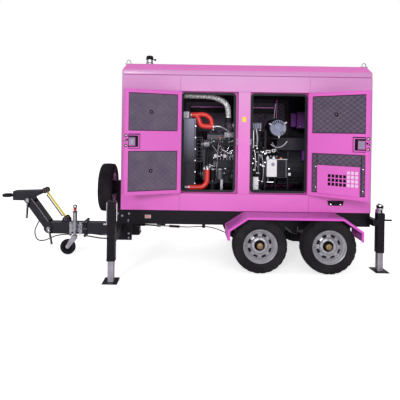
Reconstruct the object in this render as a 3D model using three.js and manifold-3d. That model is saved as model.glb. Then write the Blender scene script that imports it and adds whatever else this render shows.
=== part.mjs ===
// Towable diesel generator: an enclosed engine and alternator set on a tandem-axle trailer.
// Millimetres, +Z up. The trailer points to -X, and its near side, with the open doors, is -Y.
// The origin is at ground level, under the middle of the whole set from tow eye to rear crank.
import * as THREE from 'three';
import { mergeVertices } from 'three/addons/utils/BufferGeometryUtils.js';
import Module from 'manifold-3d';

const wasm = await Module();
wasm.setup();

// ---- driving dimensions -------------------------------------------------------------------

const GAP = 0.5;

const WHEEL = { radius: 333, rimRadius: 196, bore: 36, tyreSegments: 24, rimSegments: 18 };
const AXLES = { front: 904, rear: 1738 };
const TRACK_HALF = 760;
const AXLE_Z = WHEEL.radius;

const CANOPY = {
  front: -834, rear: 2355, half: 550, floor: 700, floorSheet: 12, seam: 2428, wall: 30, sideWall: 60,
};
const ROOF = { eaves: 2490, top: 2572, inset: 60, overhang: 4, skin: 25 };
const OPENING = { bottom: 953, top: 2190, corner: 32 };
const FRONT_OPENING = { from: -55, to: 607 };
const REAR_OPENING = { from: 835, to: 1523 };

const DOOR = { start: 2, bottom: 925, top: 2215, thick: 38, skin: 12, rim: 34, midLow: 1470, midHigh: 1700 };
const RECESS = { depth: 42, margin: 4 };
const FRONT_DOOR = { hinge: -85, width: 735, away: 1, open: 158 };
const REAR_DOOR = { hinge: 1556, width: 748, away: -1, open: 141.5 };
const KNUCKLE = { radius: 8, length: 70, strap: 60, heights: [1080, 1570, 2060] };
const HINGE_Y = CANOPY.half + KNUCKLE.radius;
const PADDLE = { width: 104, height: 128, thick: 9, recess: 14, edge: 92, z: 1585 };

const RAIL = { half: 500, width: 60, bottom: 512, top: 698, front: -790, rear: 2370, wall: 9 };
const BEAM = { half: 75, bottom: 263, top: 417, rear: -640 };
const BEAM_PIVOT = { x: -1896, z: 340 };
const ARM_REACH = { x: -294, z: 390 };
const LINK_OFFSET = { x: 221, z: 125 };
const HEAD_PIVOT = { x: BEAM_PIVOT.x + ARM_REACH.x, z: BEAM_PIVOT.z + ARM_REACH.z };
const LINK_BASE = { x: BEAM_PIVOT.x + LINK_OFFSET.x, z: BEAM_PIVOT.z + LINK_OFFSET.z };
const LINK_HEAD = { x: HEAD_PIVOT.x + LINK_OFFSET.x, z: HEAD_PIVOT.z + LINK_OFFSET.z };
const PIVOT = { bolt: 15.5, bore: 16.5, lugInner: 38, lugOuter: 58, pin: 10, linkBore: 12.5 };
const EYE = { x: -2508, z: 775, radius: 72, bore: 38 };

const SLEEVE = { x: -835, z: 478, half: 50, bore: 44, reach: 505 };
const JACK = { half: 45, wall: 6, leg: 35, legWall: 5, foot: 8 };
const FRONT_JACK = { x: SLEEVE.x, y: 1150, bottom: 235, top: 905 };
const REAR_JACK = { x: 2430, y: 640, bottom: 230, top: 722, head: 838, headRadius: 43 };

const JOCKEY = { x: -1520, y: -142, bottom: 330, top: 590, wheelX: -1610, wheelRadius: 105 };
const SPARE = { x: -1090, z: 910 };

const FENDER = {
  inner: 501, outer: 882, top: 690, flat: 580, knee: 815, kneeZ: 532, flapZ: 408, skin: 4, lip: 26,
};
const FENDER_MIDDLE = (AXLES.front + AXLES.rear) / 2;

const OUTLET = { x: -515, y: -250, radius: 44, top: 2662 };

// ---- colours ------------------------------------------------------------------------------

const finish = (color, roughness, metalness) => (
  new THREE.MeshStandardMaterial({ color, roughness, metalness }));
const PINK = finish('#df6eca', 0.35, 0.1);
const FENDER_PINK = finish('#c854bd', 0.35, 0.1);
const BLACK_PAINT = finish('#1d1a22', 0.45, 0.2);
const STEEL = finish('#9b99a0', 0.35, 0.9);
const RIM_SILVER = finish('#a9a7ad', 0.3, 0.8);
const RUBBER = finish('#232027', 0.85, 0);
const CAST = finish('#2b2a30', 0.6, 0.4);
const DARK = finish('#24222a', 0.55, 0.1);
const RED_HOSE = finish('#e0352b', 0.45, 0);
const YELLOW = finish('#e3c533', 0.4, 0.1);

// ---- solids -------------------------------------------------------------------------------

const root = new THREE.Group();

// A closed three.js geometry as a solid, with its faces turned outwards whichever way it was wound.
function solidOf(geometry) {
  geometry.deleteAttribute('normal');
  geometry.deleteAttribute('uv');
  const merged = mergeVertices(geometry, 1e-3);
  const points = merged.attributes.position;
  const corner = [new THREE.Vector3(), new THREE.Vector3(), new THREE.Vector3()];
  const triangles = [];
  let volume = 0;
  for (let i = 0; i < merged.index.count; i += 3) {
    const ids = [0, 1, 2].map((k) => merged.index.getX(i + k));
    if (new Set(ids).size < 3) continue;
    ids.forEach((id, k) => corner[k].fromBufferAttribute(points, id));
    volume += corner[0].dot(corner[1].clone().cross(corner[2]));
    triangles.push(ids);
  }
  const outward = volume < 0 ? triangles.map(([a, b, c]) => [a, c, b]) : triangles;
  const vertProperties = new Float32Array(points.array);
  const triVerts = new Uint32Array(outward.flat());
  return new wasm.Manifold(new wasm.Mesh({ numProp: 3, vertProperties, triVerts }));
}

function geometryOf(solid) {
  const mesh = solid.getMesh();
  const geometry = new THREE.BufferGeometry();
  geometry.setAttribute('position', new THREE.BufferAttribute(new Float32Array(mesh.vertProperties), 3));
  geometry.setIndex(new THREE.BufferAttribute(new Uint32Array(mesh.triVerts), 1));
  geometry.computeVertexNormals();
  return geometry;
}

const join = (...pieces) => pieces.flat().reduce((all, next) => all.add(next));
const cut = (solid, ...tools) => tools.flat().reduce((rest, tool) => rest.subtract(tool), solid);

function block(x, y, z) {
  const size = [x, y, z].map(([a, b]) => Math.abs(b - a));
  const middle = [x, y, z].map(([a, b]) => (a + b) / 2);
  return solidOf(new THREE.BoxGeometry(...size).translate(...middle));
}

// A block that stands on one side of the trailer: side is -1 for the near side, 1 for the far side.
const sideBlock = (side, x, y, z) => block(x, y.map((v) => v * side), z);

// A round bar between two points.
function rod(radius, from, to, segments = 12) {
  const a = new THREE.Vector3(...from);
  const b = new THREE.Vector3(...to);
  const along = b.clone().sub(a);
  const geometry = new THREE.CylinderGeometry(radius, radius, along.length(), segments);
  const up = new THREE.Vector3(0, 1, 0);
  geometry.applyQuaternion(new THREE.Quaternion().setFromUnitVectors(up, along.normalize()));
  return solidOf(geometry.translate(...a.add(b).multiplyScalar(0.5)));
}

// A flat outline in the plane of X and Z, given a thickness in Y.
function plateXZ(outline, y) {
  const drawn = outline instanceof THREE.Shape;
  const shape = drawn ? outline : new THREE.Shape(outline.map((p) => new THREE.Vector2(...p)));
  const options = { depth: Math.abs(y[1] - y[0]), bevelEnabled: false, curveSegments: 1 };
  const geometry = new THREE.ExtrudeGeometry(shape, options);
  return solidOf(geometry.rotateX(Math.PI / 2).translate(0, Math.max(...y), 0));
}

// A flat outline in the plane of Y and Z, given a length in X.
function plateYZ(outline, x) {
  const shape = new THREE.Shape(outline.map((p) => new THREE.Vector2(...p)));
  const geometry = new THREE.ExtrudeGeometry(shape, { depth: Math.abs(x[1] - x[0]), bevelEnabled: false });
  const turn = new THREE.Matrix4().makeBasis(
    new THREE.Vector3(0, 1, 0), new THREE.Vector3(0, 0, 1), new THREE.Vector3(1, 0, 0));
  return solidOf(geometry.applyMatrix4(turn).translate(Math.min(...x), 0, 0));
}

// A rectangle with round corners, as an outline in X and Z.
function roundedOutline(x0, x1, z0, z1, r) {
  const shape = new THREE.Shape();
  shape.absarc(x0 + r, z0 + r, r, Math.PI, Math.PI * 1.5);
  shape.absarc(x1 - r, z0 + r, r, Math.PI * 1.5, Math.PI * 2);
  shape.absarc(x1 - r, z1 - r, r, 0, Math.PI / 2);
  shape.absarc(x0 + r, z1 - r, r, Math.PI / 2, Math.PI);
  return shape;
}

// A ring turned about the Y axis. The profile is a closed loop of [distance along the axis, radius].
function turned(profile, segments) {
  const loop = [...profile, profile[0]].map(([along, radius]) => new THREE.Vector2(radius, along));
  return new THREE.LatheGeometry(loop, segments);
}

function hose(points, radius, steps = 12) {
  const path = new THREE.CatmullRomCurve3(points.map((p) => new THREE.Vector3(...p)));
  const circle = new THREE.Shape().absarc(0, 0, radius, 0, Math.PI * 2);
  const options = { extrudePath: path, steps, curveSegments: 5, bevelEnabled: false };
  return solidOf(new THREE.ExtrudeGeometry(circle, options));
}

function add(name, solid, material, parent = root) {
  const mesh = new THREE.Mesh(geometryOf(solid), material);
  mesh.name = name;
  parent.add(mesh);
  return mesh;
}

const SIDES = [{ name: 'near', side: -1 }, { name: 'far', side: 1 }];

// ---- wheels and axles ---------------------------------------------------------------------

const TYRE_PROFILE = [
  [-66, 185], [66, 185], [90, 232], [98, 270], [91, 310], [66, 330],
  [0, WHEEL.radius], [-66, 330], [-91, 310], [-98, 270], [-90, 232],
];
const RIM_PROFILE = [
  [80, WHEEL.rimRadius], [71, 182], [0, 172], [-71, 182], [-80, WHEEL.rimRadius], [-74, 176],
  [18, 160], [30, 112], [30, WHEEL.bore], [38, WHEEL.bore], [38, 112], [28, 160], [70, 176],
];
const SLOTS = 8;

function tyre() {
  return solidOf(turned(TYRE_PROFILE, WHEEL.tyreSegments));
}

// The disc stands towards +Y of the rim, and its slots sit between the hub and the barrel.
function rim() {
  const slots = [];
  for (let i = 0; i < SLOTS; i += 1) {
    const slot = new THREE.BoxGeometry(38, 40, 22).translate(0, 30, 133);
    slots.push(solidOf(slot.rotateY((i + 0.5) * (Math.PI * 2 / SLOTS))));
  }
  return cut(solidOf(turned(RIM_PROFILE, WHEEL.rimSegments)), slots);
}

function addWheel(suffix, place, turn) {
  const group = new THREE.Group();
  group.position.set(...place);
  group.rotation.z = turn;
  add(`tyre_${suffix}`, tyre(), RUBBER, group);
  add(`rim_${suffix}`, rim(), RIM_SILVER, group);
  root.add(group);
}

const SPRING = { y: 470, halfWidth: 30, reach: 350, seat: 125, eyeZ: 432, eyeRadius: 18, leaf: 9, leaves: 3 };
const AXLE = { half: 30, drumRadius: 96, drumInner: 638, drumOuter: 676, padDrop: 42 };

function leafSpring(side, axleX) {
  const y = [side * (SPRING.y - SPRING.halfWidth), side * (SPRING.y + SPRING.halfWidth)];
  const seat = AXLE_Z + AXLE.half;
  const stack = SPRING.leaf * SPRING.leaves;
  const blade = [
    [axleX - SPRING.reach, SPRING.eyeZ - 6], [axleX - SPRING.seat - 5, seat], [axleX + SPRING.seat + 5, seat],
    [axleX + SPRING.reach, SPRING.eyeZ - 6], [axleX + SPRING.reach, SPRING.eyeZ + 4],
    [axleX + SPRING.seat - 5, seat + stack], [axleX - SPRING.seat + 5, seat + stack],
    [axleX - SPRING.reach, SPRING.eyeZ + 4],
  ];
  const eyes = [-1, 1].map((end) => {
    const x = axleX + end * SPRING.reach;
    return rod(SPRING.eyeRadius, [x, y[0], SPRING.eyeZ], [x, y[1], SPRING.eyeZ], 8);
  });
  return join(plateXZ(blade, y), eyes);
}

function axle(x) {
  const { half, drumRadius, drumInner, drumOuter, padDrop } = AXLE;
  const tube = block(
    [x - half, x + half], [-drumInner - 2, drumInner + 2], [AXLE_Z - half, AXLE_Z + half + GAP]);
  const ends = SIDES.map(({ side }) => join(
    rod(half, [x, side * (drumInner - 8), AXLE_Z], [x, side * (TRACK_HALF + 26), AXLE_Z]),
    rod(drumRadius, [x, side * drumInner, AXLE_Z], [x, side * drumOuter, AXLE_Z], 14),
    sideBlock(
      side, [x - 2 * half, x + 2 * half], [SPRING.y - padDrop, SPRING.y + padDrop],
      [AXLE_Z - padDrop, AXLE_Z - half + 1]),
    leafSpring(side, x),
  ));
  return join(tube, ends);
}

function addRunningGear() {
  for (const [end, x] of Object.entries(AXLES)) {
    add(`axle_${end}`, axle(x), BLACK_PAINT);
    for (const { name, side } of SIDES) {
      addWheel(`${name}_${end}`, [x, side * TRACK_HALF, AXLE_Z], side < 0 ? Math.PI : 0);
    }
  }
  addWheel('spare', [SPARE.x, 0, SPARE.z], -Math.PI / 2);
}

// A folded plate over both wheels of one side, with flat outer and inner edges turned down.
function fender(side) {
  const { flat, knee, kneeZ, flapZ, top, skin } = FENDER;
  const at = (dx, z) => [FENDER_MIDDLE + dx, z];
  const path = [
    at(-knee, flapZ), at(-knee, kneeZ), at(-flat, top), at(flat, top), at(knee, kneeZ), at(knee, flapZ),
  ];
  const fold = (inset) => [
    at(-knee + inset, flapZ), at(-knee + inset, kneeZ - inset * 0.4), at(-flat + inset * 0.3, top - inset),
    at(flat - inset * 0.3, top - inset), at(knee - inset, kneeZ - inset * 0.4), at(knee - inset, flapZ),
  ];
  const band = (inset, y) => plateXZ([...path, ...fold(inset).reverse()], y.map((v) => v * side));
  return join(band(skin, [FENDER.inner, FENDER.outer]), band(FENDER.lip, [FENDER.outer - skin, FENDER.outer]));
}

// ---- chassis ------------------------------------------------------------------------------

function channel(side) {
  const { half, width, bottom, top, wall } = RAIL;
  const profile = [
    [half, bottom], [half, top], [half - width, top], [half - width, top - wall], [half - wall, top - wall],
    [half - wall, bottom + wall], [half - width, bottom + wall], [half - width, bottom],
  ].map(([y, z]) => [y * side, z]);
  return plateYZ(profile, [RAIL.front, RAIL.rear]);
}

const HANGERS = [
  AXLES.front - SPRING.reach, AXLES.front + SPRING.reach, AXLES.rear - SPRING.reach, AXLES.rear + SPRING.reach,
];
const CROSS_MEMBERS = [-720, 120, 640, FENDER_MIDDLE, 2060];

function sleeveAndPlates(side) {
  const plateX = [SLEEVE.x - SLEEVE.half, -690];
  return [
    sideBlock(side, plateX, [RAIL.half - 12, RAIL.half], [300, 694]),
    sideBlock(side, [-900, BEAM.rear], [BEAM.half + 3, BEAM.half + 15], [BEAM.bottom, 600]),
  ];
}

function spareCarrier() {
  const post = block([-960, -905], [-45, 45], [440, 1010]);
  const foot = block([-960, -880], [-45, 45], [440, 528]);
  const plate = rod(95, [-1028, 0, SPARE.z], [-955, 0, SPARE.z], 14);
  return join(post, foot, plate);
}

function chassis() {
  const members = CROSS_MEMBERS.map((x) => block([x - 30, x + 30], [-495, 495], [545, 665]));
  const sleeve = block(
    [SLEEVE.x - SLEEVE.half, SLEEVE.x + SLEEVE.half], [-SLEEVE.reach, SLEEVE.reach],
    [SLEEVE.z - SLEEVE.half, SLEEVE.z + SLEEVE.half]);
  const bore = block(
    [SLEEVE.x - SLEEVE.bore, SLEEVE.x + SLEEVE.bore], [-SLEEVE.reach - 1, SLEEVE.reach + 1],
    [SLEEVE.z - SLEEVE.bore, SLEEVE.z + SLEEVE.bore]);
  const rearTube = block([RAIL.rear - 45, RAIL.rear + 14], [-690, 690], [565, 645]);
  const hangers = SIDES.flatMap(({ side }) => HANGERS.map((x) => sideBlock(
    side, [x - 32, x + 32], [SPRING.y - 30, SPRING.y + 29],
    [SPRING.eyeZ + SPRING.eyeRadius + 1, RAIL.bottom + 5])));
  const frame = join(
    SIDES.map(({ side }) => channel(side)), members, sleeve, rearTube, hangers,
    SIDES.flatMap(({ side }) => sleeveAndPlates(side)), spareCarrier());
  return cut(frame, bore);
}

// ---- adjustable drawbar -------------------------------------------------------------------

const boreAt = (p, radius) => rod(radius, [p.x, -200, p.z], [p.x, 200, p.z], 12);
const lugs = (p, outline) => [-1, 1].map((side) => (
  plateXZ(outline, [side * PIVOT.lugInner, side * PIVOT.lugOuter])));
const hingePin = (p) => rod(PIVOT.pin, [p.x, -PIVOT.lugOuter - 6, p.z], [p.x, PIVOT.lugOuter + 6, p.z], 12);

function drawbarBeam() {
  const tube = block([BEAM_PIVOT.x, BEAM.rear], [-BEAM.half, BEAM.half], [BEAM.bottom, BEAM.top]);
  const nose = rod(77, [BEAM_PIVOT.x, -BEAM.half, BEAM_PIVOT.z], [BEAM_PIVOT.x, BEAM.half, BEAM_PIVOT.z], 16);
  const ears = lugs(LINK_BASE, [
    [LINK_BASE.x - 62, BEAM.top - 5], [LINK_BASE.x + 55, BEAM.top - 5], [LINK_BASE.x + 55, LINK_BASE.z - 8],
    [LINK_BASE.x + 22, LINK_BASE.z + 27], [LINK_BASE.x - 22, LINK_BASE.z + 27],
    [LINK_BASE.x - 45, LINK_BASE.z - 8],
  ]);
  const flange = block([-1402, -1378], [-112, 112], [228, 452]);
  return cut(join(tube, nose, ears, hingePin(LINK_BASE), flange), boreAt(BEAM_PIVOT, PIVOT.bore));
}

// The arm is a box with two cheeks, which straddle the beam at one end and the head at the other.
function drawbarArm() {
  const length = Math.hypot(ARM_REACH.x, ARM_REACH.z);
  const along = { x: ARM_REACH.x / length, z: ARM_REACH.z / length };
  const at = (s, t) => [BEAM_PIVOT.x + along.x * s + along.z * t, BEAM_PIVOT.z + along.z * s - along.x * t];
  const half = 50;
  const clear = 86;
  const far = length - clear;
  const box = plateXZ([at(clear, -half), at(far, -half), at(far, half), at(clear, half)], [-90, 90]);
  const cheeks = [-1, 1].flatMap((side) => {
    const y = [side * 78, side * 90];
    const strip = plateXZ([at(0, -half), at(length, -half), at(length, half), at(0, half)], y);
    const ends = [BEAM_PIVOT, HEAD_PIVOT].map((p) => rod(half, [p.x, y[0], p.z], [p.x, y[1], p.z], 16));
    return [strip, ...ends];
  });
  return cut(join(box, cheeks), boreAt(BEAM_PIVOT, PIVOT.bore), boreAt(HEAD_PIVOT, PIVOT.bore));
}

function couplingHead() {
  const front = -2405;
  const body = plateXZ([
    [front, 716], [front, 842], [-2060, 856], [-2026, 846], [-2026, 800], [-2088, 772],
    [-2122, 752], [-2140, 730], [-2190, 700], [-2250, 716],
  ], [-74, 74]);
  const hub = rod(60, [HEAD_PIVOT.x, -74, HEAD_PIVOT.z], [HEAD_PIVOT.x, 74, HEAD_PIVOT.z], 16);
  const ears = lugs(LINK_HEAD, [
    [-2032, 850], [-2032, 806], [LINK_HEAD.x, LINK_HEAD.z - 28], [LINK_HEAD.x + 26, LINK_HEAD.z - 12],
    [LINK_HEAD.x + 26, LINK_HEAD.z + 12], [LINK_HEAD.x + 8, LINK_HEAD.z + 28],
    [LINK_HEAD.x - 12, LINK_HEAD.z + 28],
  ]);
  return cut(join(body, hub, ears, hingePin(LINK_HEAD)), boreAt(HEAD_PIVOT, PIVOT.bore));
}

function towEye() {
  const half = 19;
  const loop = [
    [-half, EYE.bore + 8], [0, EYE.bore], [half, EYE.bore + 8], [half, EYE.radius - 10], [0, EYE.radius],
    [-half, EYE.radius - 10],
  ];
  const ring = solidOf(turned(loop, 18).rotateX(Math.PI / 2).translate(EYE.x, 0, EYE.z));
  const shank = rod(26, [EYE.x + 55, 0, EYE.z], [-2414, 0, EYE.z]);
  const flange = block([-2418, -2405 - GAP], [-56, 56], [EYE.z - 50, EYE.z + 50]);
  return join(ring, shank, flange);
}

function linkStrut() {
  const ends = [LINK_BASE, LINK_HEAD];
  const eyes = ends.map((p) => rod(23, [p.x, -30, p.z], [p.x, 30, p.z]));
  const bar = rod(14, [LINK_BASE.x, 0, LINK_BASE.z], [LINK_HEAD.x, 0, LINK_HEAD.z], 12);
  return cut(join(bar, eyes), ends.map((p) => boreAt(p, PIVOT.linkBore)));
}

// A hanging toggle on the pivot bolt that locks a joint of the drawbar.
function clampLever(pivot, lean, length) {
  const y = -101;
  const bolt = rod(PIVOT.bolt, [pivot.x, y, pivot.z], [pivot.x, 104, pivot.z]);
  const hub = rod(24, [pivot.x, -92, pivot.z], [pivot.x, -116, pivot.z]);
  const nut = rod(24, [pivot.x, 92, pivot.z], [pivot.x, 108, pivot.z], 6);
  const tip = [pivot.x + Math.sin(lean) * length, y - 8, pivot.z - Math.cos(lean) * length];
  const handle = rod(9, [pivot.x, y - 6, pivot.z], tip, 8);
  return join(bolt, hub, nut, handle);
}

function addDrawbar() {
  add('drawbar_beam', drawbarBeam(), BLACK_PAINT);
  add('drawbar_arm', drawbarArm(), BLACK_PAINT);
  add('coupling_head', couplingHead(), BLACK_PAINT);
  add('tow_eye', towEye(), BLACK_PAINT);
  add('link_strut', linkStrut(), YELLOW);
  add('head_clamp_lever', clampLever(HEAD_PIVOT, -0.05, 255), STEEL);
  add('beam_clamp_lever', clampLever(BEAM_PIVOT, 0.2, 225), STEEL);
}

// ---- jockey wheel -------------------------------------------------------------------------

function jockeyTube() {
  const { x, y, bottom, top } = JOCKEY;
  const outer = rod(30, [x, y, bottom], [x, y, top], 14);
  const clamp = block([x - 88, x + 92], [-BEAM.half - GAP, -BEAM.half - 12], [BEAM.bottom + 4, BEAM.top + 4]);
  const saddle = block([x - 42, x + 42], [-BEAM.half - 10, y], [310, 392]);
  return cut(join(outer, clamp, saddle), rod(25, [x, y, bottom - 40], [x, y, top - 12], 14));
}

function jockeyLeg() {
  return rod(23, [JOCKEY.x, JOCKEY.y, 262], [JOCKEY.x, JOCKEY.y, 540]);
}

function jockeyFork() {
  const { x, y, wheelX, wheelRadius: r } = JOCKEY;
  const crown = block([x - 34, x + 30], [y - 37, y + 37], [236, 261]);
  const cheeks = [-1, 1].map((side) => plateXZ([
    [x - 34, 260], [x + 30, 260], [x + 20, 205], [wheelX + 22, r - 14], [wheelX, r - 22], [wheelX - 22, r - 8],
    [wheelX - 24, r + 14],
  ], [y + side * 31, y + side * 37]));
  const pin = rod(9, [wheelX, y - 44, r], [wheelX, y + 44, r], 12);
  return join(crown, cheeks, pin);
}

function jockeyWheel() {
  const { wheelX, y, wheelRadius: r } = JOCKEY;
  const profile = [[-28, 9.6], [28, 9.6], [28, 40], [24, 85], [12, r], [-12, r], [-24, 85], [-28, 40]];
  return solidOf(turned(profile, 20).translate(wheelX, y, r));
}

function jockeyCrank() {
  const { x, y, top } = JOCKEY;
  const shaft = rod(9, [x, y, top + GAP], [x, y, top + 26], 12);
  const arm = block([x - 12, x + 12], [y - 12, y + 70], [top + 18, top + 26]);
  const grip = rod(13, [x, y + 58, top + 20], [x, y + 58, top + 78], 12);
  return join(shaft, arm, grip);
}

function addJockeyWheel() {
  add('jockey_tube', jockeyTube(), STEEL);
  add('jockey_leg', jockeyLeg(), STEEL);
  add('jockey_fork', jockeyFork(), STEEL);
  add('jockey_wheel', jockeyWheel(), RUBBER);
  add('jockey_crank', jockeyCrank(), STEEL);
}

// ---- support jacks ------------------------------------------------------------------------

function jackTube(x, y, bottom, top) {
  const h = JACK.half;
  const inside = h - JACK.wall;
  const outer = block([x - h, x + h], [y - h, y + h], [bottom, top]);
  return cut(outer, block([x - inside, x + inside], [y - inside, y + inside], [bottom - 1, top - 10]));
}

function jackLeg(x, y, top) {
  const l = JACK.leg;
  const inside = l - JACK.legWall;
  const tube = block([x - l, x + l], [y - l, y + l], [JACK.foot - 1, top]);
  const hollow = block([x - inside, x + inside], [y - inside, y + inside], [JACK.foot + 12, top + 1]);
  const foot = block([x - 84, x + 84], [y - 108, y + 108], [0, JACK.foot]);
  return cut(join(tube, foot), hollow);
}

// A crank whose shaft leaves the tube along X: reach is -1 towards the front, 1 towards the rear.
function jackCrank(x, y, z, reach, armLength, gripLength) {
  const face = x + reach * (JACK.half + GAP);
  const shaft = rod(9, [face, y, z], [face + reach * 18, y, z], 12);
  const arm = block(
    [face + reach * 8, face + reach * 18], [y - 9, y + 9], [z - armLength, z + 9]);
  const gripZ = z - armLength + 9;
  const grip = rod(11, [face + reach * 10, y, gripZ], [face + reach * (18 + gripLength), y, gripZ], 12);
  return join(shaft, arm, grip);
}

function outrigger(side) {
  const { x, y, bottom, top } = FRONT_JACK;
  const half = 42;
  const beam = sideBlock(
    side, [x - half, x + half], [y - JACK.half + 2, 365], [SLEEVE.z - half, SLEEVE.z + half]);
  return join(jackTube(x, y * side, bottom, top), beam);
}

function addJacks() {
  for (const { name, side } of SIDES) {
    const front = { x: FRONT_JACK.x, y: FRONT_JACK.y * side };
    const rear = { x: REAR_JACK.x, y: REAR_JACK.y * side };
    add(`outrigger_${name}`, outrigger(side), BLACK_PAINT);
    add(`front_jack_leg_${name}`, jackLeg(front.x, front.y, 640), STEEL);
    add(`front_jack_crank_${name}`, jackCrank(front.x, front.y, 880, -1, 245, 30), STEEL);
    const { bottom, top, head: crown, headRadius } = REAR_JACK;
    const head = rod(headRadius, [rear.x, rear.y, top - 5], [rear.x, rear.y, crown], 16);
    const tube = jackTube(rear.x, rear.y, bottom, top);
    add(`rear_jack_tube_${name}`, join(tube, head), BLACK_PAINT);
    add(`rear_jack_leg_${name}`, jackLeg(rear.x, rear.y, 500), STEEL);
    add(`rear_jack_crank_${name}`, jackCrank(rear.x, rear.y, 700, 1, 78, 86), BLACK_PAINT);
  }
}

// ---- canopy and doors ---------------------------------------------------------------------

const CONTROL_CUTOUT = { half: 290, bottom: 1330, top: 1860 };

function canopyBody() {
  const { front, rear, half, floor, seam, wall, sideWall } = CANOPY;
  const shell = block([front, rear], [-half, half], [floor, seam]);
  const innerY = half - sideWall;
  const inside = block([front + wall, rear - wall], [-innerY, innerY], [floor + CANOPY.floorSheet, seam + 1]);
  const openings = SIDES.flatMap(({ side }) => [FRONT_OPENING, REAR_OPENING].map(({ from, to }) => plateXZ(
    roundedOutline(from, to, OPENING.bottom, OPENING.top, OPENING.corner),
    [side * (innerY - 5), side * half])));
  const recesses = SIDES.flatMap(({ side }) => [FRONT_DOOR, REAR_DOOR].map((door) => doorRecess(side, door)));
  const panel = block(
    [rear - wall - 5, rear + 5], [-CONTROL_CUTOUT.half, CONTROL_CUTOUT.half],
    [CONTROL_CUTOUT.bottom, CONTROL_CUTOUT.top]);
  const hinges = SIDES.flatMap(({ side }) => [FRONT_DOOR, REAR_DOOR].map((door) => bodyKnuckles(side, door)));
  return join(cut(shell, inside, openings, recesses, panel), hinges);
}

// Each leaf shuts into a recess, so that its skin lies flush with the canopy.
function doorRecess(side, door) {
  const { depth, margin } = RECESS;
  const x = [door.hinge - door.away * 2, door.hinge + door.away * (door.width + margin)];
  return sideBlock(side, x, [CANOPY.half - depth, CANOPY.half + 5], [DOOR.bottom - margin, DOOR.top + margin]);
}

// Body and door knuckles take turns along one pin line. The body's stand above each door knuckle.
function bodyKnuckles(side, door) {
  const { radius, length, heights, strap } = KNUCKLE;
  return join(heights.map((z) => {
    const low = z + length / 2 + GAP;
    const high = low + length / 2;
    const barrel = rod(radius, [door.hinge, side * HINGE_Y, low], [door.hinge, side * HINGE_Y, high], 8);
    const leaf = sideBlock(
      side, [door.hinge - door.away * strap, door.hinge], [CANOPY.half - 1, CANOPY.half + 5], [low, high]);
    return join(barrel, leaf);
  }));
}

// Both faces of a leaf, as distances outwards from its hinge line.
const LEAF_FACE = { outer: CANOPY.half - HINGE_Y, inner: CANOPY.half - DOOR.thick - HINGE_Y };

// A door leaf modelled about its hinge line, closed, with its free edge towards away * X.
function doorLeaf(side, door) {
  const { outer, inner } = LEAF_FACE;
  const x = (from, to) => [door.away * from, door.away * to];
  const leaf = sideBlock(side, x(DOOR.start, door.width), [inner, outer], [DOOR.bottom, DOOR.top]);
  const pocket = (low, high) => sideBlock(
    side, x(DOOR.start + DOOR.rim, door.width - DOOR.rim), [inner - 1, outer - DOOR.skin], [low, high]);
  const lockMiddle = door.width - PADDLE.edge;
  const lockRecess = sideBlock(
    side, x(lockMiddle - PADDLE.width / 2 - 6, lockMiddle + PADDLE.width / 2 + 6),
    [outer - PADDLE.recess, outer + 1], [PADDLE.z - PADDLE.height / 2 - 6, PADDLE.z + PADDLE.height / 2 + 6]);
  const knuckles = KNUCKLE.heights.map((z) => join(
    rod(KNUCKLE.radius, [0, 0, z - KNUCKLE.length / 2], [0, 0, z + KNUCKLE.length / 2], 8),
    sideBlock(
      side, x(0, KNUCKLE.strap), [outer - 1, outer + 5],
      [z - KNUCKLE.length / 2, z + KNUCKLE.length / 2])));
  return join(
    cut(leaf, pocket(DOOR.bottom + DOOR.rim, DOOR.midLow), pocket(DOOR.midHigh, DOOR.top - DOOR.rim), lockRecess),
    knuckles);
}

function paddle(side, door) {
  const { outer } = LEAF_FACE;
  const middle = door.width - PADDLE.edge;
  return sideBlock(
    side, [door.away * (middle - PADDLE.width / 2), door.away * (middle + PADDLE.width / 2)],
    [outer - PADDLE.recess + GAP, outer - PADDLE.recess + GAP + PADDLE.thick],
    [PADDLE.z - PADDLE.height / 2, PADDLE.z + PADDLE.height / 2]);
}

// The near doors stand open and the far doors are shut.
function addDoors() {
  for (const { name, side } of SIDES) {
    for (const [end, door] of [['front', FRONT_DOOR], ['rear', REAR_DOOR]]) {
      const group = new THREE.Group();
      group.position.set(door.hinge, side * HINGE_Y, 0);
      group.rotation.z = side < 0 ? -door.away * THREE.MathUtils.degToRad(door.open) : 0;
      add(`door_${name}_${end}`, doorLeaf(side, door), PINK, group);
      add(`door_lock_${name}_${end}`, paddle(side, door), DARK, group);
      root.add(group);
    }
  }
}

function liftingEye(x, side) {
  const y = [side * 434, side * 446];
  const plate = plateXZ([[x - 34, ROOF.top - 6], [x + 34, ROOF.top - 6], [x + 22, 2630], [x - 22, 2630]], y);
  return cut(plate, rod(15, [x, side * 420, 2602], [x, side * 460, 2602], 12));
}

function canopyRoof() {
  const bottom = CANOPY.seam + GAP;
  const hip = (half, middle) => [
    [middle - half, bottom], [middle + half, bottom], [middle + half, ROOF.eaves],
    [middle + half - ROOF.inset, ROOF.top], [middle - half + ROOF.inset, ROOF.top], [middle - half, ROOF.eaves],
  ];
  const middleX = (CANOPY.front + CANOPY.rear) / 2;
  const halfX = (CANOPY.rear - CANOPY.front) / 2 + ROOF.overhang;
  const halfY = CANOPY.half + ROOF.overhang;
  const lengthwise = plateXZ(hip(halfX, middleX), [-halfY, halfY]);
  const crosswise = plateYZ(hip(halfY, 0), [middleX - halfX, middleX + halfX]);
  const hollow = block(
    [CANOPY.front + CANOPY.wall, CANOPY.rear - CANOPY.wall],
    [-CANOPY.half + CANOPY.sideWall, CANOPY.half - CANOPY.sideWall],
    [bottom - 1, ROOF.eaves - ROOF.skin]);
  const outletHole = rod(OUTLET.radius + 8, [OUTLET.x, OUTLET.y, 2400], [OUTLET.x, OUTLET.y, 2600], 14);
  const eyes = SIDES.flatMap(({ side }) => [liftingEye(-770, side), liftingEye(2288, side)]);
  return cut(join(lengthwise.intersect(crosswise), eyes), hollow, outletHole);
}

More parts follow.
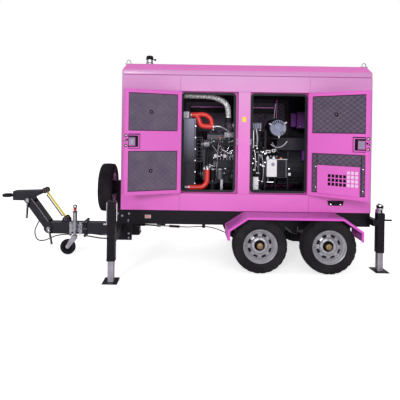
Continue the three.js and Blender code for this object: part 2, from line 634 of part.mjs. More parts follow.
// ---- engine, alternator and what they need ------------------------------------------------

// The fan turns on its own shaft above the crankshaft, and every foot stands on the tank.
const CRANK_Z = 1250;
const FAN_Z = 1430;
const DECK_Z = 889;
const FLYWHEEL = { radius: 262, front: 1030, rear: 1092 };
const FAN = { blades: 7, hubRadius: 70, middle: 122, pitch: 0.5, shroudInner: 322, shroudOuter: 330 };
const COOLANT_HOSE = { radius: 27, radiatorFace: 60 };
const AIR_FILTER = { x: 1202, z: 1772, radius: 124, collar: 130 };
const SILENCER = { z: 2190, radius: 120, front: -750, rear: -180, pipe: 36 };

function engineBlock() {
  const crankcase = block([215, 1040], [-230, 230], [1010, 1500]);
  const sump = block([270, 980], [-170, 170], [900, 1012]);
  const head = block([240, 1015], [-200, 120], [1498, 1640]);
  const cover = block([265, 990], [-150, 70], [1638, 1730]);
  const timingCase = block([180, 220], [-260, 260], [1040, 1560]);
  const flywheelHousing = rod(FLYWHEEL.radius, [FLYWHEEL.front, 0, CRANK_Z], [FLYWHEEL.rear, 0, CRANK_Z], 16);
  const turbo = rod(75, [560, -300, 1720], [560, -160, 1720]);
  const turboFoot = block([520, 600], [-230, -170], [1560, 1720]);
  const nose = rod(40, [150, 0, FAN_Z], [190, 0, FAN_Z]);
  const feet = [-1, 1].flatMap((side) => [300, 900].map((x) => block(
    [x - 50, x + 50], [side * 160, side * 330], [DECK_Z, 1040])));
  return join(crankcase, sump, head, cover, timingCase, flywheelHousing, turbo, turboFoot, nose, feet);
}

function alternator() {
  const body = rod(240, [FLYWHEEL.rear + 2, 0, CRANK_Z], [1640, 0, CRANK_Z], 18);
  const endBell = rod(200, [1638, 0, CRANK_Z], [1740, 0, CRANK_Z], 18);
  const box = block([1240, 1560], [-190, 190], [1440, 1640]);
  const feet = [-1, 1].map((side) => block([1200, 1540], [side * 130, side * 260], [DECK_Z, 1130]));
  return join(body, endBell, box, feet);
}

function radiator() {
  const core = block([-60, 60], [-400, 400], [1000, 1880]);
  const stand = block([-60, 60], [-380, 380], [DECK_Z, 1002]);
  const shroud = cut(
    join(block([58, 100], [-360, 360], [1080, 1780]), rod(FAN.shroudOuter, [95, 0, FAN_Z], [128, 0, FAN_Z], 20)),
    rod(FAN.shroudInner, [62, 0, FAN_Z], [140, 0, FAN_Z], 20));
  return join(core, stand, shroud);
}

function coolingFan() {
  const hub = rod(FAN.hubRadius, [FAN.middle - 26, 0, FAN_Z], [FAN.middle + 27, 0, FAN_Z]);
  const blades = [];
  for (let i = 0; i < FAN.blades; i += 1) {
    const blade = new THREE.BoxGeometry(7, 92, 250).rotateZ(FAN.pitch).translate(0, 0, 180);
    blades.push(solidOf(blade.rotateX(i * (Math.PI * 2 / FAN.blades)).translate(FAN.middle, 0, FAN_Z)));
  }
  return join(hub, blades);
}

function airFilter() {
  const { x, z, radius, collar: band } = AIR_FILTER;
  const canister = rod(radius, [x, -372, z], [x, -40, z], 18);
  const collar = rod(band, [x, -345, z], [x, -320, z], 18);
  const saddle = block([x - 52, x + 52], [-180, -60], [1640 + GAP, 1680]);
  return join(canister, collar, saddle);
}

// The silencer lies along the front compartment's roof, with its outlet straight up.
function silencer() {
  const y = OUTLET.y;
  const drum = rod(SILENCER.radius, [SILENCER.front, y, SILENCER.z], [SILENCER.rear, y, SILENCER.z], 16);
  const outlet = rod(OUTLET.radius, [OUTLET.x, y, SILENCER.z + 10], [OUTLET.x, y, OUTLET.top], 14);
  const inlet = hose([
    [SILENCER.rear - 10, y, SILENCER.z], [60, y, 2180], [330, y, 2172], [500, y, 2140], [562, y, 2030],
    [566, y, 1900], [560, y, 1797],
  ], SILENCER.pipe, 14);
  return join(drum, outlet, inlet);
}

function rainCap() {
  const { x, y, top } = OUTLET;
  const lid = rod(50, [x, y, top + 4], [x, y, top + 12], 14);
  const weight = block([x + 60, x + 84], [y - 18, y + 18], [top - 12, top + 12]);
  const strap = block([x + 20, x + 66], [y - 9, y + 9], [top + 4, top + 18]);
  return join(lid, weight, strap);
}

// A coolant hose is cut off square where it meets the radiator and the side of the engine.
function coolantHose(points, engineFace) {
  const radiatorSide = block([0, COOLANT_HOSE.radiatorFace + GAP], [-460, 0], [900, 1950]);
  const engineSide = block([100, 500], [engineFace - GAP, 0], [900, 1950]);
  return cut(hose(points, COOLANT_HOSE.radius), radiatorSide, engineSide);
}

function upperHose() {
  return coolantHose([
    [40, -330, 1842], [150, -345, 1856], [280, -350, 1850], [345, -345, 1790], [350, -310, 1640], [350, -285, 1480],
    [350, -215, 1430],
  ], -230);
}

function lowerHose() {
  return coolantHose([
    [40, -390, 1034], [130, -392, 985], [215, -392, 985], [262, -385, 1040], [265, -350, 1160], [265, -310, 1220],
    [265, -220, 1240],
  ], -260);
}

function controlPanel() {
  const margin = 2;
  const face = block(
    [CANOPY.rear - 26, CANOPY.rear - 8], [-CONTROL_CUTOUT.half + margin, CONTROL_CUTOUT.half - margin],
    [CONTROL_CUTOUT.bottom + margin, CONTROL_CUTOUT.top - margin]);
  const box = block([CANOPY.rear - 230, CANOPY.rear - 24], [-250, 250], [1370, 1820]);
  return join(face, box);
}

function fuelTank() {
  return block([-500, 1900], [-480, 480], [CANOPY.floor + CANOPY.floorSheet + GAP, DECK_Z - 1]);
}

function addGeneratingSet() {
  add('engine_block', engineBlock(), CAST);
  add('alternator', alternator(), CAST);
  add('radiator', radiator(), DARK);
  add('cooling_fan', coolingFan(), DARK);
  add('air_filter', airFilter(), DARK);
  add('silencer', silencer(), STEEL);
  add('rain_cap', rainCap(), BLACK_PAINT);
  add('radiator_hose_upper', upperHose(), RED_HOSE);
  add('radiator_hose_lower', lowerHose(), RED_HOSE);
  add('control_panel', controlPanel(), DARK);
  add('fuel_tank', fuelTank(), BLACK_PAINT);
}

// ---- the whole set ------------------------------------------------------------------------

add('chassis_frame', chassis(), BLACK_PAINT);
addRunningGear();
SIDES.forEach(({ name, side }) => add(`fender_${name}`, fender(side), FENDER_PINK));
addDrawbar();
addJockeyWheel();
addJacks();
add('canopy_body', canopyBody(), PINK);
add('canopy_roof', canopyRoof(), PINK);
addDoors();
addGeneratingSet();

export default root;
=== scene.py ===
"""Looks of a towable diesel generator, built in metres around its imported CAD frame.

+X runs to the rear of the trailer, -Y is the near side, which the camera faces, and +Z is up.
"""

import math
import random

import bmesh
import bpy
from mathutils import Matrix, Vector


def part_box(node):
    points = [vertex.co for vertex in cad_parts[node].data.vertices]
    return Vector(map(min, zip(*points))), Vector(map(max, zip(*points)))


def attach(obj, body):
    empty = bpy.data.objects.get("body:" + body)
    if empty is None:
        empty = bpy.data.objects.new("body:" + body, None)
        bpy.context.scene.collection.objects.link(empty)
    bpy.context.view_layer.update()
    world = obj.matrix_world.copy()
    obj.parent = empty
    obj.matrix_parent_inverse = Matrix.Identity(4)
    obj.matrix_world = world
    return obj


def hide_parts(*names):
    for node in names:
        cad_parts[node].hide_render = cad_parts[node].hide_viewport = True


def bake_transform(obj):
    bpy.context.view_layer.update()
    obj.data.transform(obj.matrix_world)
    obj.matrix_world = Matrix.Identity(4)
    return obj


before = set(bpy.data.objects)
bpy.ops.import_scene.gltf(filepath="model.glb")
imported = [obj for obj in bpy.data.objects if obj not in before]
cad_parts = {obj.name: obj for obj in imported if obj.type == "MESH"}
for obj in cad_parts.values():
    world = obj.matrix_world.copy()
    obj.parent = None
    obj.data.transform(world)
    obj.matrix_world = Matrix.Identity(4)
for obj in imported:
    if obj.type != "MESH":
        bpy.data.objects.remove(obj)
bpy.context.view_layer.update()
rng = random.Random(11)

NEAR, FAR = -1, 1
SIDE_NAMES = {NEAR: "near", FAR: "far"}

body_low, body_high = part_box("canopy_body")
roof_low, roof_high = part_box("canopy_roof")
leaf_low, leaf_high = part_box("door_far_front")

# Canopy: outer half width, side wall depth, and the joint lines between its sheets.
HALF = 0.55
WALL = 0.06
END_WALL = 0.03
SHEET = 0.0035
JOINT = 0.004
FLOOR_Z = body_low.z
SEAM_Z = body_high.z
FRONT_X = body_low.x
REAR_X = body_high.x

# Doorways and leaves. A leaf is described by its hinge line, width, closing direction and open angle.
DOORWAY_Z = (0.953, 2.190)
DOORWAY_CORNER = 0.032
DOORWAYS = {"front": (-0.055, 0.607), "rear": (0.835, 1.523)}
LEAVES = {"front": (-0.085, 0.735, 1, 158.0), "rear": (1.556, 0.748, -1, 141.5)}
HINGE_Y = HALF + 0.008
LEAF_OUT = -0.008
LEAF_IN = -0.046
LEAF_Z = (leaf_low.z, leaf_high.z)
RECESS_MARGIN = 0.004
RECESS_DEPTH = 0.042
MID_RAIL = (1.470, 1.700)
STILE = 0.048
LEAF_START = 0.003
HINGE_HEIGHTS = (1.080, 1.570, 2.060)
LOCK_Z = 1.585
CRATE_PITCH = (0.080, 0.062)
# Vent holes in this many left columns show a dark board as painted shade; the rest show a pale sheet as painted light.
DARK_COLUMNS = 5

# Machinery: the fan's and the shaft's heights, and the lines of the exhaust.
FAN_Z = 1.43
SHAFT_Z = 1.25
DRUM_Z = 2.19
EXHAUST_Y = -0.25
STACK_X = -0.515

# Running gear: tread blocks round a tyre, drawbar flange, jacks, jockey wheel and pivots of the drawbar.
TREAD_SEGMENTS = 96
FLANGE_X = -1.402
FRONT_JACK = (-0.835, 1.150)
REAR_JACK = (2.430, 0.640)
JOCKEY_X, JOCKEY_Y = -1.520, -0.142
ARM_LOW, ARM_HIGH = Vector((-1.896, 0, 0.340)), Vector((-2.190, 0, 0.730))
LINK_LOW, LINK_HIGH = Vector((-1.675, 0, 0.465)), Vector((-1.969, 0, 0.855))

ALONG_X, ALONG_Y, UP = (1, 0, 0), (0, 1, 0), (0, 0, 1)


# ---------------------------------------------------------------- materials

def linear(code):
    """Linear RGBA of an sRGB hex colour."""
    values = [int(code[i:i + 2], 16) / 255 for i in (1, 3, 5)]
    return tuple(v / 12.92 if v <= 0.04045 else ((v + 0.055) / 1.055) ** 2.4 for v in values) + (1.0,)


class Graph:
    """Short hand for building one material's node tree."""

    def __init__(self, name):
        self.material = bpy.data.materials.new(name)
        self.material.use_nodes = True
        self.tree = self.material.node_tree
        self.shader = self.tree.nodes["Principled BSDF"]
        self.place = self.node("ShaderNodeTexCoord").outputs["Object"]

    def node(self, kind, **inputs):
        """A new node, with values or links for the inputs that are named."""
        made = self.tree.nodes.new(kind)
        for key, value in inputs.items():
            self.plug(value, made.inputs[key.replace("_", " ")])
        return made

    def plug(self, value, socket):
        """Links an output to a socket, or sets the socket to a plain value."""
        if isinstance(value, bpy.types.NodeSocket):
            self.tree.links.new(value, socket)
        else:
            socket.default_value = value

    def set(self, **inputs):
        """Sets or links inputs of the surface shader."""
        for key, value in inputs.items():
            self.plug(value, self.shader.inputs[key.replace("_", " ")])

    def noise(self, scale, detail=4.0, stretch=(1, 1, 1), roughness=0.55):
        """Noise of the object's own place, from 0 to 1."""
        spread = self.node("ShaderNodeMapping", Vector=self.place, Scale=stretch)
        made = self.node("ShaderNodeTexNoise", Vector=spread.outputs[0], Scale=scale, Detail=detail,
                         Roughness=roughness)
        return made.outputs["Fac"]

    def range(self, value, low, high, to_low=0.0, to_high=1.0):
        """Maps low to high onto another range, clamped."""
        made = self.node("ShaderNodeMapRange", Value=value, From_Min=low, From_Max=high, To_Min=to_low,
                         To_Max=to_high)
        return made.outputs[0]

    def maths(self, kind, a, b=0.0):
        """One arithmetic step."""
        made = self.tree.nodes.new("ShaderNodeMath")
        made.operation = kind
        self.plug(a, made.inputs[0])
        self.plug(b, made.inputs[1])
        return made.outputs[0]

    def mix(self, share, a, b):
        """A colour between a and b."""
        made = self.tree.nodes.new("ShaderNodeMix")
        made.data_type = "RGBA"
        self.plug(share, made.inputs["Factor"])
        self.plug(a, made.inputs[6])
        self.plug(b, made.inputs[7])
        return made.outputs[2]

    def bump(self, height, strength=0.3, distance=0.001):
        """Fine relief from a height."""
        made = self.node("ShaderNodeBump", Height=height, Strength=strength, Distance=distance)
        self.set(Normal=made.outputs[0])

    def upward(self):
        """How far the surface faces up, from 0 to 1."""
        split = self.node("ShaderNodeSeparateXYZ",
                          Vector=self.node("ShaderNodeNewGeometry").outputs["Normal"])
        return self.range(split.outputs["Z"], 0.3, 1.0)

    def height(self):
        """The point's height in the world, in metres."""
        split = self.node("ShaderNodeSeparateXYZ",
                          Vector=self.node("ShaderNodeNewGeometry").outputs["Position"])
        return split.outputs["Z"]

    def edges(self, reach=0.004):
        """A narrow band along every edge, where the surface differs from a rounded copy of itself."""
        rounded_off = self.node("ShaderNodeBevel", Radius=reach).outputs["Normal"]
        made = self.tree.nodes.new("ShaderNodeVectorMath")
        made.operation = "DOT_PRODUCT"
        self.plug(rounded_off, made.inputs[0])
        self.plug(self.node("ShaderNodeNewGeometry").outputs["True Normal"], made.inputs[1])
        return self.range(made.outputs["Value"], 0.97, 0.80)


def coat(name, colour, roughness=0.4, metallic=0.0, shade=0.10, scale=4.0, grain=300.0, relief=0.0002,
         dust=0.0, edge_wear_and_highlight=None, gloss=0.0, paler_with_height=None, top=None, shine=0.5):
    """A paint, plastic or cast surface: mottled colour, dust on top faces, a coloured edge band and a fine relief. A
    paler colour mixed in higher up is painted light, a colour of its own on upward faces is painted shade, and the edge
    band is real scuffing on most paints but a painted highlight on the fender paint.
    """
    graph = Graph(name)
    base = linear(colour)
    dark = tuple(v * (1 - shade) for v in base[:3]) + (1.0,)
    tint = graph.mix(graph.range(graph.noise(scale), 0.3, 0.7), dark, base)
    # Painted light: higher up, a paler colour is mixed in.
    if paler_with_height:
        pale, low, high = paler_with_height
        tint = graph.mix(graph.range(graph.height(), low, high), tint, linear(pale))
    # Painted shade: upward faces take a colour of their own, to offset the light from above.
    if top:
        tint = graph.mix(graph.range(graph.upward(), 0.1, 0.4), tint, linear(top))
    # Edge band: real scuffing on most paints, a painted edge highlight on the fender paint.
    if edge_wear_and_highlight:
        edge_mark = graph.maths("MULTIPLY", graph.edges(), graph.range(graph.noise(24.0), 0.42, 0.62))
        tint = graph.mix(edge_mark, tint, linear(edge_wear_and_highlight))
    if dust:
        layer = graph.maths("MULTIPLY", graph.upward(), graph.range(graph.noise(9.0), 0.35, 0.7, 0.0, dust))
        tint = graph.mix(layer, tint, linear("#a89c94"))
    graph.set(Base_Color=tint, Metallic=metallic, Coat_Weight=gloss, Coat_Roughness=0.15)
    graph.set(Specular_IOR_Level=shine)
    graph.set(Roughness=graph.range(graph.noise(scale * 3), 0.3, 0.7, roughness * 0.85, roughness * 1.2))
    graph.bump(graph.noise(grain, 3.0), 0.35, relief)
    return graph.material


def brushed(name, colour, roughness=0.3, stretch=(1, 1, 12), scale=60.0, spots=0.12):
    """Bare or plated metal with fine drawn lines and slight stains."""
    graph = Graph(name)
    base = linear(colour)
    dark = tuple(v * (1 - spots * 2) for v in base[:3]) + (1.0,)
    lines = graph.noise(scale, 5.0, stretch)
    graph.set(Base_Color=graph.mix(graph.range(graph.noise(14.0), 0.35, 0.65), dark, base), Metallic=0.9)
    graph.set(Roughness=graph.range(lines, 0.3, 0.7, roughness * 0.7, roughness * 1.5))
    graph.bump(lines, 0.2, 0.0002)
    return graph.material


def rubber(name, colour, roughness=0.75, dusty=0.35):
    """Soft black rubber under a thin film of dust."""
    graph = Graph(name)
    base = linear(colour)
    film = graph.range(graph.noise(5.0, 6.0), 0.4, 0.75, 0.0, dusty)
    graph.set(Base_Color=graph.mix(film, base, linear("#6f6a6a")), Roughness=roughness, Sheen_Weight=0.02)
    graph.set(Specular_IOR_Level=0.15)
    graph.bump(graph.noise(420.0, 3.0), 0.3, 0.0003)
    return graph.material


def foam(name, colour, dark):
    """Open-cell acoustic foam: pores in colour and relief, and painted shade in the hollows where a board has them."""
    graph = Graph(name)
    hollow = graph.tree.nodes.new("ShaderNodeAttribute")
    hollow.attribute_name = "hollow"
    pores = graph.node("ShaderNodeTexVoronoi", Vector=graph.place, Scale=240.0).outputs["Distance"]
    mottled = graph.mix(graph.range(graph.noise(7.0), 0.3, 0.7), linear(dark), linear(colour))
    pits = graph.range(pores, 0.1, 0.5, 0.65, 0.0)
    pored = graph.mix(pits, mottled, linear("#2d2833"))
    graph.set(Base_Color=graph.mix(hollow.outputs["Fac"], pored, linear("#2a2630")), Roughness=0.95)
    graph.set(Specular_IOR_Level=0.1)
    graph.bump(pores, 0.5, 0.001)
    return graph.material


def foil(name):
    """Crumpled aluminium heat wrap, its colour running from near black to white across the crumples: painted shade and
    glints of the folds.
    """
    graph = Graph(name)
    folds = graph.node("ShaderNodeTexVoronoi", Vector=graph.place, Scale=55.0).outputs["Distance"]
    graph.set(Base_Color=graph.mix(graph.range(folds, 0.12, 0.42), linear("#1d1c22"), linear("#ffffff")))
    graph.set(Metallic=0.35, Roughness=0.3)
    graph.bump(folds, 1.0, 0.006)
    return graph.material


def fins(name, colour):
    """Radiator core: close horizontal fins crossed by wider tubes, with the gaps between them painted near black as
    shade.
    """
    graph = Graph(name)
    split = graph.node("ShaderNodeSeparateXYZ", Vector=graph.place)
    rows = graph.maths("SINE", graph.maths("MULTIPLY", split.outputs["Z"], 2 * math.pi / 0.004))
    tubes = graph.maths("SINE", graph.maths("MULTIPLY", split.outputs["Y"], 2 * math.pi / 0.012))
    relief = graph.maths("ADD", graph.range(rows, -1, 1), graph.range(tubes, 0.4, 1.0))
    graph.set(Base_Color=graph.mix(graph.range(relief, 0, 2), linear("#0c0b10"), linear(colour)),
              Roughness=0.5)
    graph.bump(relief, 0.8, 0.002)
    return graph.material


def tread_plate(name, colour):
    """Floor sheet with a pattern of raised cells."""
    graph = Graph(name)
    cells = graph.node("ShaderNodeTexBrick", Vector=graph.place, Scale=22.0)
    graph.set(Base_Color=graph.mix(cells.outputs["Fac"], linear(colour), linear("#3a3740")), Roughness=0.6)
    graph.bump(cells.outputs["Fac"], 0.6, 0.001)
    return graph.material


# The pink paint turns paler higher up as painted light, and its upward faces take a more saturated pink as painted
# shade.
PINK = coat("pink_paint", "#e165c9", 0.38, shade=0.05, scale=1.6, relief=0.00012, dust=0.10, gloss=0.35,
            paler_with_height=("#cf8ec5", 1.55, 2.45), top="#e777c9")
PINK_INNER = coat("pink_inner_paint", "#e468cc", 0.42, shade=0.05, scale=1.8, relief=0.00012, gloss=0.25)
# A dark plum copy of the pink paint: painted shade on the far side's inner faces.
PINK_SHADE = coat("shaded_inner_paint", "#33192f", 0.5, shade=0.2, scale=4.0, shine=0.2)
# A darker copy of the pink paint: painted shade on jambs, recess floors and inner wall layers.
PINK_RECESS_SHADE = coat("pink_jamb_painted_shade", "#b8449f", 0.45, shade=0.08)
# The fender paint's lighter pink edge colour is a painted edge highlight.
MAGENTA = coat("fender_paint", "#d05cc8", 0.40, shade=0.10, scale=3.0, dust=0.25, gloss=0.3, edge_wear_and_highlight="#d868c6")
# A brighter copy of the fender paint: painted light on the fender's outer lip and on the bay's upper rails.
MAGENTA_PAINTED_HIGHLIGHT = coat("fender_lip_painted_highlight", "#d94fc6", 0.36, shade=0.06, scale=4.0, gloss=0.3)
# A dark purple copy of the pink paint: painted shade on boxes in the bays.
PURPLE_PAINTED_SHADE = coat("shaded_panel_paint", "#6c2a84", 0.5, shade=0.2, scale=6.0)
BLACK = coat("black_paint", "#1b181e", 0.34, shade=0.15, scale=8.0, grain=160.0, relief=0.0002, dust=0.06,
             edge_wear_and_highlight="#4a4753", gloss=0.06, shine=0.12)
SATIN = coat("satin_black_paint", "#2b2833", 0.42, shade=0.2, scale=7.0, relief=0.0003, dust=0.08,
             edge_wear_and_highlight="#6f6d7a",
             shine=0.2)
CAST = coat("engine_black_casting", "#26252c", 0.5, shade=0.35, scale=30.0, grain=220.0, relief=0.0012,
            edge_wear_and_highlight="#5d5b66", shine=0.2)
IRON = coat("grey_casting", "#5d5b66", 0.5, metallic=0.3, shade=0.3, scale=30.0, grain=220.0, relief=0.001)
PLASTIC = coat("black_moulding", "#121116", 0.5, shade=0.15, scale=12.0, grain=500.0, relief=0.0002,
               shine=0.15)
GREY_PLASTIC = coat("grey_moulding", "#8f94ad", 0.55, shade=0.12, scale=18.0, relief=0.0004)
WHITE_PLASTIC = coat("white_moulding", "#e9e8ec", 0.45, shade=0.06, scale=14.0)
ORANGE = coat("orange_plastic", "#e8692c", 0.45)
YELLOW = coat("yellow_paint", "#f2dc3a", 0.42, shade=0.12, scale=10.0, dust=0.2, edge_wear_and_highlight="#7b6a2a")
RED = coat("red_moulding", "#c92a2e", 0.35, shade=0.1, gloss=0.3)
LENS = coat("pale_marker", "#efe6e6", 0.2, shade=0.04, gloss=0.6)
HOSE_RED = coat("red_hose", "#e2332c", 0.34, shade=0.12, scale=12.0, grain=90.0, relief=0.0006, gloss=0.3)
HOSE_BLACK = rubber("black_hose", "#141317", 0.5, 0.05)
SEAL = rubber("door_seal", "#20272b", 0.5, 0.12)
TYRE = rubber("tyre_rubber", "#19171c", 0.78, 0.10)
SILVER = coat("wheel_silver", "#bab8c0", 0.34, metallic=0.55, shade=0.18, scale=12.0, dust=0.2, gloss=0.3)
ZINC = brushed("galvanised_steel", "#b3b1ba", 0.36)
STEEL = brushed("bare_steel", "#b6b1bd", 0.42, spots=0.12)
CHROME = brushed("chrome", "#dcdbe2", 0.14, scale=30.0, spots=0.05)
ALUMINIUM = brushed("cast_aluminium", "#a9a9b4", 0.45, (1, 1, 1), 140.0, 0.15)
BRASS = brushed("brass", "#a98e6a", 0.35, spots=0.15)
FOAM = foam("door_foam", "#75697c", "#675c70")
FOAM_DARK = foam("lining_foam", "#211e25", "#19171c")
FOIL = foil("foil_wrap")
CORE = fins("radiator_core", "#4d4a5c")
# The radiator paint turns lighter towards the top.
RADIATOR = coat("radiator_paint", "#27242f", 0.45, shade=0.3, scale=6.0, shine=0.2,
                paler_with_height=("#8f8ea4", 1.30, 1.90))
# A pale sheet: painted light behind the rear doors' vent holes.
PAINTED_LIGHT_SHEET = coat("painted_light_sheet", "#f1d7ee", 0.6, shade=0.03)
DECK = tread_plate("floor_sheet", "#26242a")
GLASS = coat("display_glass", "#15202a", 0.08, shade=0.1, gloss=1.0)
GREEN = coat("green_button", "#2f8f4a", 0.35)


# ---------------------------------------------------------------- mesh building

def rounded(x0, x1, z0, z1, radius, steps=6):
    """A closed rounded rectangle as (x, z) points."""
    loop = []
    corners = ((x1 - radius, z0 + radius, -90), (x1 - radius, z1 - radius, 0),
               (x0 + radius, z1 - radius, 90), (x0 + radius, z0 + radius, 180))
    for cx, cz, start in corners:
        for k in range(steps + 1):
            turn = math.radians(start + 90 * k / steps)
            loop.append((cx + radius * math.cos(turn), cz + radius * math.sin(turn)))
    return loop


def bent(corners, radius, steps=6):
    """A path through corner points with each inner corner rounded."""
    points = [Vector(p) for p in corners]
    path = [points[0]]
    for before, corner, after in zip(points, points[1:], points[2:]):
        arm_in, arm_out = (before - corner), (after - corner)
        reach = min(radius, arm_in.length * 0.49, arm_out.length * 0.49)
        start = corner + arm_in.normalized() * reach
        end = corner + arm_out.normalized() * reach
        for k in range(steps + 1):
            t = k / steps
            path.append(start * (1 - t) ** 2 + corner * 2 * t * (1 - t) + end * t * t)
    path.append(points[-1])
    return path


def dense(path, step):
    """The same path with points no further apart than step."""
    out = [Vector(path[0])]
    for a, b in zip(path, path[1:]):
        a, b = Vector(a), Vector(b)
        count = max(1, int((b - a).length / step + 0.5))
        out += [a.lerp(b, (k + 1) / count) for k in range(count)]
    return [p for k, p in enumerate(out) if k == 0 or (p - out[k - 1]).length > 1e-6]


def sorted_corner(a, b):
    """The lowest and the highest corner of the box between two points."""
    return tuple(min(p, q) for p, q in zip(a, b)), tuple(max(p, q) for p, q in zip(a, b))


def around(centre, radius, degrees):
    """A point on a circle about centre that lies across the X axis."""
    turn = math.radians(degrees)
    return (centre[0], centre[1] + radius * math.cos(turn), centre[2] + radius * math.sin(turn))


def on_axis(axis, u, v, t):
    """The point at t along an axis, with u and v on the other two in order."""
    return {"x": (t, u, v), "y": (u, t, v), "z": (u, v, t)}[axis]


def side_frame(direction):
    """Two unit vectors square to a direction."""
    axis = Vector(direction).normalized()
    helper = Vector(UP) if abs(axis.z) < 0.9 else Vector(ALONG_X)
    first = axis.cross(helper).normalized()
    return first, axis.cross(first)


class Part:
    """Gathers closed solids of several materials into one mesh that rides on one CAD body."""

    def __init__(self, name, body, *replaced):
        self.name, self.body, self.replaced = name, body, replaced
        self.points, self.faces, self.marks = [], [], []
        self.materials = []
        self.place = Matrix.Identity(4)

    def add(self, points, faces, material):
        """Adds one solid, placed by the part's own transform."""
        if material not in self.materials:
            self.materials.append(material)
        mark = self.materials.index(material)
        first = len(self.points)
        self.points.extend(self.place @ Vector(p) for p in points)
        self.faces.extend(tuple(first + i for i in face) for face in faces)
        self.marks.extend([mark] * len(faces))

    def box(self, low, high, material):
        """An upright box from its lowest to its highest corner."""
        (x0, y0, z0), (x1, y1, z1) = low, high
        points = [(x, y, z) for x in (x0, x1) for y in (y0, y1) for z in (z0, z1)]
        faces = [(0, 1, 3, 2), (4, 6, 7, 5), (0, 4, 5, 1), (2, 3, 7, 6), (0, 2, 6, 4), (1, 5, 7, 3)]
        self.add(points, faces, material)

    def block(self, centre, size, material, turn=(0, 0, 0)):
        """A box about its own centre, turned by Euler angles in degrees."""
        kept = self.place
        angles = [Matrix.Rotation(math.radians(a), 4, axis) for a, axis in zip(turn, "XYZ")]
        self.place = kept @ Matrix.Translation(centre) @ angles[2] @ angles[1] @ angles[0]
        half = Vector(size) / 2
        self.box(-half, half, material)
        self.place = kept

    def rod(self, start, end, radius, material, end_radius=None, sides=16):
        """A straight bar or cone between two points."""
        start, end = Vector(start), Vector(end)
        across, up = side_frame(end - start)
        points = []
        for centre, r in ((start, radius), (end, radius if end_radius is None else end_radius)):
            for k in range(sides):
                turn = 2 * math.pi * k / sides
                points.append(centre + across * (r * math.cos(turn)) + up * (r * math.sin(turn)))
        faces = [(k, (k + 1) % sides, sides + (k + 1) % sides, sides + k) for k in range(sides)]
        faces += [tuple(range(sides)), tuple(range(sides, 2 * sides))]
        self.add(points, faces, material)

    def lathe(self, profile, centre, axis, material, sides=32, closed=False, vary=None):
        """Turns (along, radius) points about an axis. closed makes a ring of them, and open ends are capped."""
        axis = Vector(axis).normalized()
        across, up = side_frame(axis)
        centre = Vector(centre)
        points = []
        for j, (along, radius) in enumerate(profile):
            for k in range(sides):
                turn = 2 * math.pi * k / sides
                r = radius + (vary(j, k) if vary else 0.0)
                points.append(centre + axis * along + across * (r * math.cos(turn)) + up * (r * math.sin(turn)))
        rows = len(profile)
        faces = []
        for j in range(rows if closed else rows - 1):
            for k in range(sides):
                a, b = j * sides, (j + 1) % rows * sides
                faces.append((a + k, a + (k + 1) % sides, b + (k + 1) % sides, b + k))
        if not closed:
            faces += [tuple(range(sides)), tuple(range((rows - 1) * sides, rows * sides))]
        self.add(points, faces, material)

    def band(self, centre, axis, inner, outer, width, material, sides=32):
        """A plain round collar that starts at centre."""
        profile = [(0.0, inner), (0.0, outer), (width, outer), (width, inner)]
        self.lathe(profile, centre, axis, material, sides, True)

    def tube(self, path, radius, material, sides=12, ripple=None):
        """A round hose or bar along a path. ripple(k) scales the radius at point k."""
        path = [Vector(p) for p in path]
        across, _ = side_frame(path[1] - path[0])
        points = []
        for k, here in enumerate(path):
            ahead = (path[min(k + 1, len(path) - 1)] - path[max(k - 1, 0)]).normalized()
            across = (across - ahead * across.dot(ahead)).normalized()
            up = ahead.cross(across)
            r = radius * (ripple(k) if ripple else 1.0)
            for n in range(sides):
                turn = 2 * math.pi * n / sides
                points.append(here + across * (r * math.cos(turn)) + up * (r * math.sin(turn)))
        faces = []
        for k in range(len(path) - 1):
            for n in range(sides):
                a, b = k * sides, (k + 1) * sides
                faces.append((a + n, a + (n + 1) % sides, b + (n + 1) % sides, b + n))
        last = (len(path) - 1) * sides
        faces += [tuple(range(sides)), tuple(range(last, last + sides))]
        self.add(points, faces, material)

    def prism(self, outline, axis, low, high, material):
        """An outline pushed along one axis. Its points fill the other two axes in order."""
        n = len(outline)
        points = [on_axis(axis, u, v, t) for t in (low, high) for u, v in outline]
        faces = [tuple(range(n)), tuple(range(n, 2 * n))]
        faces += [(k, (k + 1) % n, n + (k + 1) % n, n + k) for k in range(n)]
        self.add(points, faces, material)

    def ring(self, outer, inner, axis, low, high, material):
        """A plate between two loops of equal length."""
        n = len(outer)
        points = [on_axis(axis, u, v, t) for t in (low, high) for loop in (outer, inner) for u, v in loop]
        faces = []
        for k in range(n):
            m = (k + 1) % n
            faces.append((k, m, n + m, n + k))
            faces.append((2 * n + k, 3 * n + k, 3 * n + m, 2 * n + m))
            faces.append((k, 2 * n + k, 2 * n + m, m))
            faces.append((n + k, n + m, 3 * n + m, 3 * n + k))
        self.add(points, faces, material)

    def loft(self, loops, material):
        """A closed skin through loops of equal length, capped at both ends."""
        n = len(loops[0])
        points = [p for loop in loops for p in loop]
        faces = []
        for j in range(len(loops) - 1):
            for k in range(n):
                a, b = j * n, (j + 1) * n
                faces.append((a + k, a + (k + 1) % n, b + (k + 1) % n, b + k))
        last = (len(loops) - 1) * n
        faces += [tuple(range(n)), tuple(range(last, last + n))]
        self.add(points, faces, material)

    def bolt(self, point, axis, size, material=ZINC):
        """A hexagon head on a washer, standing on a face. size is the width of the washer."""
        point, axis = Vector(point), Vector(axis).normalized()
        self.rod(point - axis * size * 0.1, point + axis * size * 0.12, size * 0.5, material, sides=16)
        self.rod(point, point + axis * size * 0.42, size * 0.36, material, sides=6)
        self.rod(point, point + axis * size * 0.55, size * 0.16, material, sides=8)

